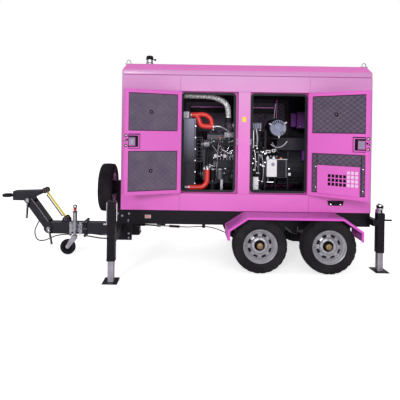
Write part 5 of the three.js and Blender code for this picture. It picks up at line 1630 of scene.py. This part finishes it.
def dial(part, centre):
    """A round gauge with tick marks and a needle."""
    centre = Vector(centre)
    part.band(centre, ALONG_X, 0.026, 0.030, 0.008, CHROME)
    part.rod(centre, centre + Vector((0.004, 0, 0)), 0.027, LENS, sides=32)
    for k in range(9):
        a = math.radians(-30 + 30 * k)
        part.block(centre + Vector((0.0045, 0.021 * math.cos(a), 0.021 * math.sin(a))), (0.001, 0.005, 0.0012), PLASTIC,
                   (math.degrees(a), 0, 0))
    part.block(centre + Vector((0.0052, 0.006, 0.006)), (0.001, 0.026, 0.0014), RED, (45, 0, 0))


def socket(part, centre):
    """An outlet with a sprung lid."""
    centre = Vector(centre)
    part.box(centre + Vector((0, -0.036, -0.050)), centre + Vector((0.010, 0.036, 0.050)), PLASTIC)
    part.lathe([(0.010, 0.012), (0.010, 0.028), (0.022, 0.028), (0.024, 0.024), (0.024, 0.004)], centre, ALONG_X,
               GREY_PLASTIC, 28)
    part.rod(centre + Vector((0.018, -0.026, 0.030)), centre + Vector((0.018, 0.026, 0.030)), 0.004, STEEL)


def battery():
    """Starter battery on a tray in the rear corner, with leads."""
    part = Part("starter_battery", "chassis")
    part.box((1.780, -0.470, 0.895), (2.050, -0.290, 1.095), PLASTIC)
    part.box((1.775, -0.475, 1.095), (2.055, -0.285, 1.112), SATIN)
    for x, material in ((1.815, RED), (2.015, PLASTIC)):
        part.rod((x, -0.380, 1.112), (x, -0.380, 1.132), 0.012, BRASS)
        part.tube(bent([(x, -0.380, 1.128), (x - 0.03, -0.380, 1.170), (x - 0.12, -0.300, 1.120),
                        (x - 0.20, -0.20, 0.95)], 0.06), 0.009, material, 10)
    part.box((1.765, -0.480, 0.889), (2.065, -0.280, 0.895), BLACK)
    part.finish(0.002, 1)


# ---------------------------------------------------------------- running gear and chassis fittings

def offset_path(path, distance):
    """The same open path moved sideways, with mitred corners."""
    points = [Vector(p) for p in path]
    moved = []
    for k, here in enumerate(points):
        before = (here - points[k - 1]).normalized() if k else None
        after = (points[k + 1] - here).normalized() if k < len(points) - 1 else None
        first, second = before or after, after or before
        normal = Vector((first.y + second.y, -first.x - second.x)).normalized()
        stretch = normal.dot(Vector((second.y, -second.x)))
        moved.append(here + normal * (distance / stretch))
    return [tuple(p) for p in moved]


def fender(side):
    """Folded mudguard over both wheels: top sheet, outer lip in a brighter copy of the paint as painted light, inner
    return and stays.
    """
    name = SIDE_NAMES[side]
    low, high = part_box(f"fender_{name}")
    part = Part(f"mudguard_{name}", "chassis", f"fender_{name}")
    middle = (low.x + high.x) / 2
    reach, knee, flat = (high.x - low.x) / 2, low.z + 0.124, 0.580
    path = [(middle - reach, low.z), (middle - reach, knee), (middle - flat, high.z), (middle + flat, high.z),
            (middle + reach, knee), (middle + reach, low.z)]
    sheet = path + offset_path(path, 0.004)[::-1]
    lip = path + offset_path(path, 0.028)[::-1]
    inner_y, outer_y = 0.501, 0.882
    for outline, y0, y1, material in ((sheet, inner_y, outer_y - 0.004, MAGENTA), (lip, outer_y - 0.005, outer_y,
                                      MAGENTA_PAINTED_HIGHLIGHT)):
        a, b = sorted((side * y0, side * y1))
        part.prism(outline, "y", a, b, material)
    bead = offset_path(path, 0.0005)
    inner = offset_path(path, -0.0035)
    for y in (0.560, 0.822):
        a, b = sorted((side * (y - 0.006), side * (y + 0.006)))
        part.prism(inner + bead[::-1], "y", a, b, MAGENTA)
    for x in (middle - 0.40, middle, middle + 0.40):
        wall_box(part, side, (x - 0.020, x + 0.020), (0.5005, 0.80), (high.z - 0.026, high.z - 0.005), BLACK)
        for y in (0.60, 0.74):
            part.bolt((x, side * y, high.z + 0.0005), UP, 0.020, MAGENTA)
    part.finish(0.0012, 2)


def bolts(part, points, axis, size, material=ZINC):
    """The same bolt at several points."""
    for point in points:
        part.bolt(point, axis, size, material)


def chassis_fittings():
    """Bolts, brackets, brake rods, cables and a plain side marker on the frame."""
    part = Part("chassis_fittings", "chassis")
    holes = [(y, z) for y in (-0.096, 0.096) for z in (0.244, 0.340, 0.436)]
    bolts(part, [(FLANGE_X, y, z) for y, z in holes], (-1, 0, 0), 0.026)
    bolts(part, [(FLANGE_X + 0.024, y, z) for y, z in holes], ALONG_X, 0.026)
    for side in (NEAR, FAR):
        holes = [(FRONT_JACK[0] + dx, z) for dx in (-0.040, 0.105) for z in (0.330, 0.385, 0.640)]
        bolts(part, [(x, side * 0.5005, z) for x, z in holes], (0, side, 0), 0.026)
        part.rod((-0.735, side * 0.500, 0.560), (-0.735, side * 0.535, 0.560), 0.011, CHROME, sides=14)
        part.rod((-0.815, side * 0.500, 0.615), (-0.815, side * 0.522, 0.615), 0.015, ZINC, sides=6)
        part.band((-0.735, side * 0.537, 0.545), (0, side, 0), 0.005, 0.0085, 0.004, CHROME, 16)
        bolts(part, [(x, side * 0.5003, 0.590) for x in (-0.60, 0.20, 1.0, 1.6, 2.2)], (0, side, 0), 0.020, BLACK)
        for x in (0.52, 1.32, 2.12):
            wall_box(part, side, (x - 0.030, x + 0.030), (0.41, 0.50), (0.498, 0.512), BLACK)
    wall_box(part, NEAR, (-0.525, -0.450), (0.500, 0.503), (0.585, 0.627), LENS)
    wall_box(part, NEAR, (-0.520, -0.455), (0.503, 0.506), (0.592, 0.605), RED)
    wall_box(part, NEAR, (-0.520, -0.455), (0.503, 0.506), (0.611, 0.621), RED)
    part.tube([(-1.395, -0.05, 0.236), (-1.20, -0.05, 0.205), (-0.92, -0.05, 0.192)], 0.009, SATIN, 12)
    part.tube(bent([(-1.392, 0.05, 0.250), (-1.20, 0.05, 0.222), (-0.90, 0.05, 0.225), (-0.66, 0.05, 0.43)], 0.1),
              0.007, HOSE_BLACK, 10)
    brake_gear(part)
    part.finish(0.0012, 1)


def brake_gear(part):
    """Brake rods with turnbuckles, a cable and the brackets that carry them under the frame."""
    y = -0.300
    part.tube([(-0.700, y, 0.462), (-0.380, y, 0.448)], 0.011, SATIN, 12)
    part.rod((-0.640, y, 0.459), (-0.540, y, 0.455), 0.020, BLACK, sides=8)
    part.rod((-0.385, y, 0.448), (-0.330, y, 0.446), 0.022, ZINC, sides=6)
    part.tube([(-0.330, y, 0.446), (0.02, y, 0.432)], 0.008, STEEL, 10)
    part.rod((-0.220, y, 0.442), (-0.080, y, 0.436), 0.017, BLACK, sides=8)
    part.tube(bent([(0.02, y, 0.432), (0.28, y, 0.448), (0.46, y - 0.06, 0.415), (0.640, y - 0.10, 0.330)], 0.1),
              0.006, HOSE_BLACK, 10)
    part.block((-0.30, y, 0.482), (0.060, 0.050, 0.060), BLACK)
    for x in (-0.66, 0.24):
        part.box((x - 0.02, y - 0.03, 0.43), (x + 0.02, y + 0.03, 0.513), BLACK)


def springs():
    """Brake drums, and the U-bolts that hold the leaf springs to the axles."""
    part = Part("spring_fittings", "chassis")
    for node in ("axle_front", "axle_rear"):
        low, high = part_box(node)
        x = (low.x + high.x) / 2
        for side in (NEAR, FAR):
            part.lathe([(0.0, 0.100), (0.004, 0.150), (0.010, 0.157), (0.082, 0.157), (0.088, 0.152), (0.092, 0.100),
                        (0.094, 0.060)], (x, side * 0.668, 0.333), (0, side, 0), CAST, 48)
        for side in (NEAR, FAR):
            for dx in (-0.050, 0.050):
                path = [(x + dx, side * 0.425, low.z + 0.02), (x + dx, side * 0.425, high.z - 0.035)]
                part.rod(path[0], path[1], 0.007, ZINC, sides=10)
                part.bolt((x + dx, side * 0.425, low.z + 0.018), (0, 0, -1), 0.024)
    part.finish(0.001, 1)


def dress(node, material, width=0.002, segments=2):
    """Keeps a CAD node's shape, rounds its edges and gives it a paint."""
    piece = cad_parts[node]
    piece.data.materials.clear()
    piece.data.materials.append(material)
    soften(piece, width, segments, weld=True)


# ---------------------------------------------------------------- drawbar, jockey wheel and jacks

def coupling_ring():
    """The tow eye with its neck and nut."""
    low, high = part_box("tow_eye")
    part = Part("tow_ring", "head", "tow_eye")
    bore, rim_radius = 0.038, high.y
    centre = Vector((low.x + rim_radius, 0, (low.z + high.z) / 2))
    middle, half = (bore + rim_radius) / 2, (rim_radius - bore) / 2
    profile = [(0.021 * math.sin(a), middle + half * math.cos(a)) for a in
               (2 * math.pi * k / 16 for k in range(16))]
    part.lathe(profile, centre, UP, BLACK, 56, True)
    neck = centre + Vector((middle + 0.004, 0, 0))
    part.lathe([(0.0, 0.016), (0.012, 0.021), (0.030, 0.026), (0.046, 0.034), (0.0475, 0.036)], neck, ALONG_X,
               BLACK, 32)
    part.lathe([(0.0, 0.020), (0.0, 0.048), (0.007, 0.050), (0.010, 0.050), (0.010, 0.020)],
               (high.x - 0.0105, 0, centre.z), ALONG_X, ZINC, 32, True)
    part.finish(0.001, 1)


def drawbar_details():
    """Pins, washers, bosses, weld beads and bright edge strips of the folding drawbar, the strips being a painted
    highlight.
    """
    arm_details()
    head_details()
    beam_details()
    strut_edge()


def arm_details():
    """The arm's cover sheet with its cross beads, bright steel strips along its side edges as a painted highlight of
    those edges, and bolts.
    """
    along = (ARM_HIGH - ARM_LOW).normalized()
    normal = Vector((-along.z, 0, along.x)) * -1
    part = Part("arm_details", "arm")
    flat = [ARM_LOW + along * 0.095, ARM_HIGH - along * 0.095]
    sheet = [tuple((p + normal * t).xz) for p, t in zip(flat + flat[::-1], (0.0495, 0.0495, 0.0535, 0.0535))]
    part.prism(sheet, "y", -0.0855, 0.0855, BLACK)
    for share in (0.30, 0.44, 0.58, 0.72):
        spot = flat[0].lerp(flat[1], share) + normal * 0.0540
        part.tube([spot + Vector((0, -0.060, 0)), spot + Vector((0, 0.060, 0))], 0.005, PLASTIC, 8)
    # Bright steel strips along the side edges: painted highlight of the arm's edges.
    for y in (-0.0895, 0.0895):
        start = ARM_LOW + along * 0.075 + normal * 0.0495
        end = ARM_HIGH - along * 0.010 + normal * 0.0495
        part.tube([start + Vector((0, y, 0)), end + Vector((0, y, 0))], 0.0035, STEEL, 8)
    for share in (0.25, 0.75):
        spot = ARM_LOW.lerp(ARM_HIGH, share)
        for side in (NEAR, FAR):
            part.bolt(spot + Vector((0, side * 0.0905, 0)), (0, side, 0), 0.018, BLACK)
    part.finish(0.001, 1)


def lug_pin(part, pin, boss, washer, start, end, radius, head):
    """Both ends of a drawbar pin: a round boss, a thin bright washer, the pin itself and its bolt."""
    for side in (NEAR, FAR):
        out = Vector((0, side, 0))
        part.rod(pin + out * 0.037, pin + out * 0.0595, boss, BLACK, sides=32)
        part.lathe([(0.0, washer), (0.0, washer + 0.004), (0.003, washer + 0.003), (0.003, washer)],
                   pin + out * 0.059, out, STEEL, 32, True)
        part.rod(pin + out * start, pin + out * end, radius, BLACK, sides=20)
        part.bolt(pin + out * end, out, head, BLACK)


def head_details():
    """The link's pin in the coupling head, and the head's side bolts."""
    part = Part("head_details", "head")
    lug_pin(part, LINK_HIGH, 0.040, 0.0185, 0.028, 0.058, 0.017, 0.030)
    for x in (-2.37, -2.10):
        for side in (NEAR, FAR):
            part.bolt((x, side * 0.0745, 0.785), (0, side, 0), 0.020, BLACK)
    part.finish(0.001, 1)


def beam_details():
    """The link's pin in the beam, and the cable's stop under the beam."""
    part = Part("beam_details", "chassis")
    lug_pin(part, LINK_LOW, 0.038, 0.0175, 0.030, 0.060, 0.016, 0.028)
    part.box((-1.640, -0.020, 0.226), (-1.600, 0.020, 0.263), BLACK)
    part.finish(0.001, 1)


def strut_edge():
    """A black rod along the link's lower edge, held by two short stays."""
    part = Part("strut_edge", "link")
    low, high = (p + Vector((0, -0.020, 0)) for p in (LINK_LOW, LINK_HIGH))
    aim = (high - low).normalized()
    side_step = Vector((aim.z, 0, -aim.x)) * -0.024
    part.tube([low + aim * 0.060 + side_step, high - aim * 0.060 + side_step], 0.008, BLACK, 10)
    for share in (0.12, 0.88):
        part.tube([low.lerp(high, share), low.lerp(high, share) + side_step], 0.004, BLACK, 8)
    part.finish(0.001, 1)


def lever_grips():
    """Black grip halves along both hanging levers."""
    for body, top, tip in (("head_lever", (-2.190, -0.112, 0.690), (-2.203, -0.112, 0.480)),
                           ("beam_lever", (-1.886, -0.112, 0.290), (-1.852, -0.112, 0.124))):
        part = Part(f"{body}_grip", body)
        shift = Vector((0.0145, 0.004, 0))
        part.rod(Vector(top) + shift, Vector(tip) + shift, 0.0085, PLASTIC, 0.008, 14)
        bow = [Vector(top) + Vector((dx, 0, dz)) for dx, dz in ((-0.030, 0.010), (-0.004, 0.032), (0.020, 0.006))]
        part.tube(bent(bow, 0.012), 0.006, CHROME, 10)
        part.finish(0.0008, 1)


def brake_cable():
    """A slack cable from the arm to the beam, baked into a plain mesh."""
    part = Part("slack_brake_cable", "chassis")
    path = bent([(-2.040, -0.060, 0.435), (-2.105, -0.070, 0.290), (-2.060, -0.070, 0.165), (-1.960, -0.060, 0.160),
                 (-1.800, -0.045, 0.235), (-1.640, -0.030, 0.246)], 0.12, 12)
    part.tube(dense(path, 0.012), 0.0075, HOSE_BLACK, 10)
    piece = part.finish(0.0)
    world = piece.matrix_world.copy()
    piece.parent = None
    piece.matrix_world = world
    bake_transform(piece)


def jockey():
    """The jockey wheel, part by part from its clamp down to its wheel."""
    jockey_clamp(JOCKEY_X, JOCKEY_Y)
    jockey_tube(JOCKEY_X, JOCKEY_Y)
    jockey_handle(JOCKEY_X, JOCKEY_Y)
    jockey_wheel()


def jockey_clamp(x, y):
    """Outer tube with two collars, its clamp plates and bolts, and the clamp's handle."""
    part = Part("jockey_clamp", "chassis", "jockey_tube")
    part.band((x, y, 0.335), UP, 0.0245, 0.030, 0.245, ZINC)
    part.lathe([(0.0, 0.020), (0.0, 0.032), (0.012, 0.032), (0.014, 0.020)], (x, y, 0.577), UP, PLASTIC, 32, True)
    for z in (0.340, 0.420):
        part.band((x, y, z), UP, 0.0305, 0.0355, 0.034, ZINC)
    face = -0.0985
    for low_x, high_x in ((-1.606, -1.574), (-1.478, -1.430)):
        part.box((low_x, face, 0.268), (high_x, -0.0935, 0.432), ZINC)
    for low_x, high_x in ((-1.578, -1.545), (-1.497, -1.470)):
        part.box((low_x, -0.1090, 0.300), (high_x, face, 0.415), ZINC)
    for px in (-1.590, -1.452):
        for z in (0.418, 0.282):
            part.bolt((px, face, z), (0, -1, 0), 0.026)
            part.band((px, face, z - 0.028), (0, -1, 0), 0.012, 0.018, 0.003, CHROME, 20)
    part.rod((-1.452, -0.104, 0.350), (-1.452, -0.150, 0.350), 0.010, CHROME, sides=14)
    part.tube([(-1.452, -0.150, 0.350), (-1.430, -0.158, 0.395), (-1.412, -0.158, 0.420)], 0.006, ZINC, 10)
    part.lathe([(0.0, 0.004), (0.004, 0.012), (0.014, 0.012), (0.018, 0.004)], (-1.412, -0.158, 0.420),
               (0.3, 0, 1), PLASTIC, 16)
    part.finish(0.0008, 1)


def jockey_tube(x, y):
    """The bright leg that slides in the clamped tube."""
    low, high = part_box("jockey_leg")
    part = Part("jockey_inner_tube", "jockey_inner", "jockey_leg")
    part.band((x, y, low.z), UP, 0.018, 0.023, high.z - low.z, STEEL)
    part.finish(0.0008, 1)


def jockey_handle(x, y):
    """The winding handle with its red band, ring and knob."""
    part = Part("jockey_winding_handle", "jockey_winder", "jockey_crank")
    part.rod((x, y, 0.592), (x, y, 0.604), 0.018, ZINC, sides=20)
    part.rod((x, y, 0.602), (x, y, 0.632), 0.022, RED, sides=24)
    part.rod((x, y, 0.632), (x, y, 0.637), 0.020, PLASTIC, sides=24)
    turns = [2 * math.pi * k / 24 for k in range(25)]
    part.tube([(x + 0.020 * math.cos(a), y, 0.655 + 0.020 * math.sin(a)) for a in turns], 0.0075, PLASTIC, 10)
    part.tube(bent([(x, y, 0.618), (x, y + 0.040, 0.622), (x, y + 0.062, 0.640)], 0.02), 0.006, ZINC, 10)
    part.rod((x, y + 0.062, 0.632), (x, y + 0.062, 0.667), 0.010, PLASTIC, sides=16)
    part.finish(0.0008, 1)


def jockey_wheel():
    """The small solid tyre on its moulded wheel, and the nuts of the fork's pin."""
    low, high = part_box("jockey_wheel")
    centre = (low + high) / 2
    part = Part("jockey_wheel_tyre", "jockey_roller", "jockey_wheel")
    tread = [(0.010, 0.1045), (0.020, 0.101), (0.026, 0.094), (0.027, 0.080), (0.024, 0.062)]
    hub = [(0.020, 0.0615), (0.006, 0.050), (0.006, 0.030), (0.020, 0.022), (0.020, 0.010)]
    for half, material, sides in ((tread, TYRE, 56), (hub, PLASTIC, 48)):
        part.lathe([(-a, r) for a, r in reversed(half)] + half, centre, ALONG_Y, material, sides, True)
    part.finish(0.001, 1)
    part = Part("jockey_fork_pin", "jockey_swivel")
    for way in (-1, 1):
        part.bolt(centre + Vector((0, way * 0.040, 0)), (0, way, 0), 0.024, CHROME)
    part.finish(0.0008, 1)


def square_loop(half, radius, steps=3):
    """A rounded square about the origin."""
    return rounded(-half, half, -half, half, radius, steps)


def square_tube(part, x, y, half, wall, low, high, material):
    """An upright square tube."""
    outer = [(x + a, y + b) for a, b in square_loop(half, 0.008)]
    inner = [(x + a, y + b) for a, b in square_loop(half - wall, 0.004)]
    part.ring(outer, inner, "z", low, high, material)


def jack_leg(body, node):
    """Inner leg with its black foot plate, weld bead and four bolts."""
    low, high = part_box(node)
    x, y = (low.x + high.x) / 2, (low.y + high.y) / 2
    part = Part(f"{node}_tube", body, node)
    square_tube(part, x, y, 0.035, 0.004, 0.0085, high.z, STEEL)
    outline = rounded(low.x, high.x, low.y, high.y, 0.006)
    part.prism(outline, "z", 0.0, 0.008, BLACK)
    bead = [(x + a, y + b, 0.010) for a, b in square_loop(0.036, 0.008)]
    part.tube(bead + [bead[0]], 0.003, STEEL, 8)
    bolts(part, [(x + dx, y + dy, 0.008) for dy in (0.086, -0.086) for dx in (0.062, -0.062)], UP, 0.012, BLACK)
    part.finish(0.001, 2)


def jacks():
    """Four legs, the rear cases and the front caps."""
    for side in (NEAR, FAR):
        name = SIDE_NAMES[side]
        jack_leg(f"front_leg_{name}", f"front_jack_leg_{name}")
        jack_leg(f"rear_leg_{name}", f"rear_jack_leg_{name}")
        rear_jack_tube(side)
        front_jack_cap(side)


def rear_jack_tube(side):
    """Square tube on its bracket, with the bright bearing head on top."""
    name = SIDE_NAMES[side]
    low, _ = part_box(f"rear_jack_tube_{name}")
    x, y = REAR_JACK[0], side * REAR_JACK[1]
    part = Part(f"rear_jack_case_{name}", "chassis", f"rear_jack_tube_{name}")
    square_tube(part, x, y, 0.045, 0.006, low.z, 0.722, BLACK)
    part.prism([(x + a, y + b) for a, b in square_loop(0.0445, 0.008)], "z", 0.714, 0.722, BLACK)
    part.rod((x, y, 0.722), (x, y, 0.768), 0.031, BLACK, sides=32)
    part.box((x - 0.040, y - 0.040, 0.724), (x - 0.004, y + 0.040, 0.764), ZINC)
    part.lathe([(0.0, 0.030), (0.002, 0.042), (0.018, 0.042), (0.020, 0.034)], (x, y, 0.766), UP, CHROME, 40)
    part.lathe([(0.0, 0.034), (0.003, 0.043), (0.023, 0.043), (0.026, 0.034)], (x, y, 0.786), UP, PLASTIC, 40)
    part.lathe([(0.0, 0.034), (0.002, 0.042), (0.014, 0.040), (0.019, 0.026)], (x, y, 0.811), UP, CHROME, 40)
    part.rod((x - 0.010, y, 0.828), (x - 0.010, y, 0.838), 0.013, PLASTIC, sides=20)
    wall_box(part, side, (2.3842, 2.3852), (0.590, 0.690), (0.560, 0.650), BLACK)
    for dz in (0.575, 0.635):
        part.bolt((2.4755, y - 0.022, dz), ALONG_X, 0.016, BLACK)
    part.lathe([(0.0, 0.012), (0.0, 0.022), (0.008, 0.020), (0.008, 0.012)], (2.475, y, 0.700), ALONG_X, ZINC, 24,
               True)
    part.finish(0.0012, 2)


def front_jack_cap(side):
    """Cap, plug, bolts and lower collar of an outrigger's jack case."""
    name = SIDE_NAMES[side]
    x, y = FRONT_JACK[0], side * FRONT_JACK[1]
    part = Part(f"front_jack_cap_{name}", f"outrigger_{name}")
    part.prism([(x + a, y + b) for a, b in square_loop(0.047, 0.010)], "z", 0.9052, 0.9112, SATIN)
    part.rod((x, y, 0.911), (x, y, 0.918), 0.014, PLASTIC, sides=20)
    part.lathe([(0.0, 0.012), (0.0, 0.024), (0.007, 0.022), (0.007, 0.012)], (x - 0.045, y, 0.880), (-1, 0, 0), ZINC,
               24, True)
    for z in (0.520, 0.440):
        for dx in (-0.030, 0.030):
            part.bolt((x + dx, y + side * 0.045, z), (0, side, 0), 0.012, BLACK)
    part.ring([(x + a, y + b) for a, b in square_loop(0.0485, 0.010)],
              [(x + a, y + b) for a, b in square_loop(0.0452, 0.008)], "z", 0.238, 0.262, BLACK)
    part.finish(0.0012, 2)


# ---------------------------------------------------------------- stage

def camera():
    """The view: square on to the near side, a little high, with the picture turned slightly clockwise."""
    data = bpy.data.cameras.new("view")
    data.lens = 37.5
    data.sensor_width = 36.0
    data.shift_x = 0.0325
    data.shift_y = -0.17
    view = bpy.data.objects.new("view", data)
    view.location = (0.0, -5.86, 1.70)
    view.rotation_euler = (math.pi / 2, math.radians(-0.85), 0.0)
    bpy.context.scene.collection.objects.link(view)
    bpy.context.scene.camera = view


def lamp(name, kind, energy, place, aim, size, mirrored=True):
    """A sun or an area lamp that points at aim. mirrored says whether glossy surfaces reflect it."""
    data = bpy.data.lights.new(name, kind)
    data.energy = energy
    if kind == "AREA":
        data.size = size
    else:
        data.angle = size
    made = bpy.data.objects.new(name, data)
    made.location = place
    made.visible_glossy = mirrored
    made.rotation_euler = (Vector(aim) - Vector(place)).to_track_quat("-Z", "Y").to_euler()
    bpy.context.scene.collection.objects.link(made)


def floor_paint():
    """A white sweep that stays white to the camera, with only a soft contact shadow."""
    graph = Graph("floor_paint")
    seen = graph.node("ShaderNodeLightPath").outputs["Is Camera Ray"]
    graph.set(Base_Color=linear("#ffffff"), Roughness=0.9, Emission_Color=linear("#ffffff"))
    graph.set(Emission_Strength=graph.maths("MULTIPLY", seen, 0.62))
    return graph.material


def stage():
    """White surroundings, a pale floor and soft lamps in front and above."""
    scene = bpy.context.scene
    scene.view_settings.view_transform = "Standard"
    world = bpy.data.worlds.new("studio")
    world.use_nodes = True
    tree = world.node_tree
    background = tree.nodes["Background"]
    seen = tree.nodes.new("ShaderNodeLightPath").outputs["Is Camera Ray"]
    strength = tree.nodes.new("ShaderNodeMapRange")
    tree.links.new(seen, strength.inputs["Value"])
    strength.inputs["To Min"].default_value = 0.42
    strength.inputs["To Max"].default_value = 1.0
    tree.links.new(strength.outputs[0], background.inputs["Strength"])
    background.inputs["Color"].default_value = (1.0, 1.0, 1.0, 1.0)
    scene.world = world
    lamp("key", "SUN", 1.1, (-3, -9, 4), (0.4, 0, 1.0), math.radians(14))
    lamp("front", "AREA", 135, (1.5, -7.5, 2.2), (0.6, 0, 1.3), 4.0)
    lamp("rear", "AREA", 150, (0.0, 8.0, 3.0), (0.4, 0, 1.2), 4.0, False)
    mesh = bpy.data.meshes.new("floor")
    reach = 60.0
    mesh.from_pydata([(-reach, -reach, 0), (reach, -reach, 0), (reach, reach, 0), (-reach, reach, 0)], [],
                     [(0, 1, 2, 3)])
    mesh.materials.append(floor_paint())
    floor = bpy.data.objects.new("floor", mesh)
    scene.collection.objects.link(floor)


def kept_nodes():
    """CAD nodes that keep their own shape."""
    for node in ("chassis_frame", "axle_front", "axle_rear", "fuel_tank", "outrigger_near", "outrigger_far"):
        dress(node, BLACK, 0.003)
    for node in ("drawbar_beam", "drawbar_arm", "coupling_head"):
        dress(node, SATIN, 0.003)
    dress("link_strut", YELLOW, 0.002)
    for node in ("head_clamp_lever", "beam_clamp_lever", "jockey_fork"):
        dress(node, ZINC, 0.0015)
    for side in SIDE_NAMES.values():
        dress(f"front_jack_crank_{side}", ZINC, 0.001)
        dress(f"rear_jack_crank_{side}", BLACK, 0.001)


canopy()
linings()
roof()
exhaust()
rain_hood()
for side in (NEAR, FAR):
    fender(side)
    for end in LEAVES:
        leaf(side, end)
wheels()
radiator()
hoses()
engine()
generator_end()
air_cleaner()
switchgear()
control_panel()
battery()
chassis_fittings()
springs()
coupling_ring()
drawbar_details()
lever_grips()
brake_cable()
jockey()
jacks()
kept_nodes()
camera()
stage()
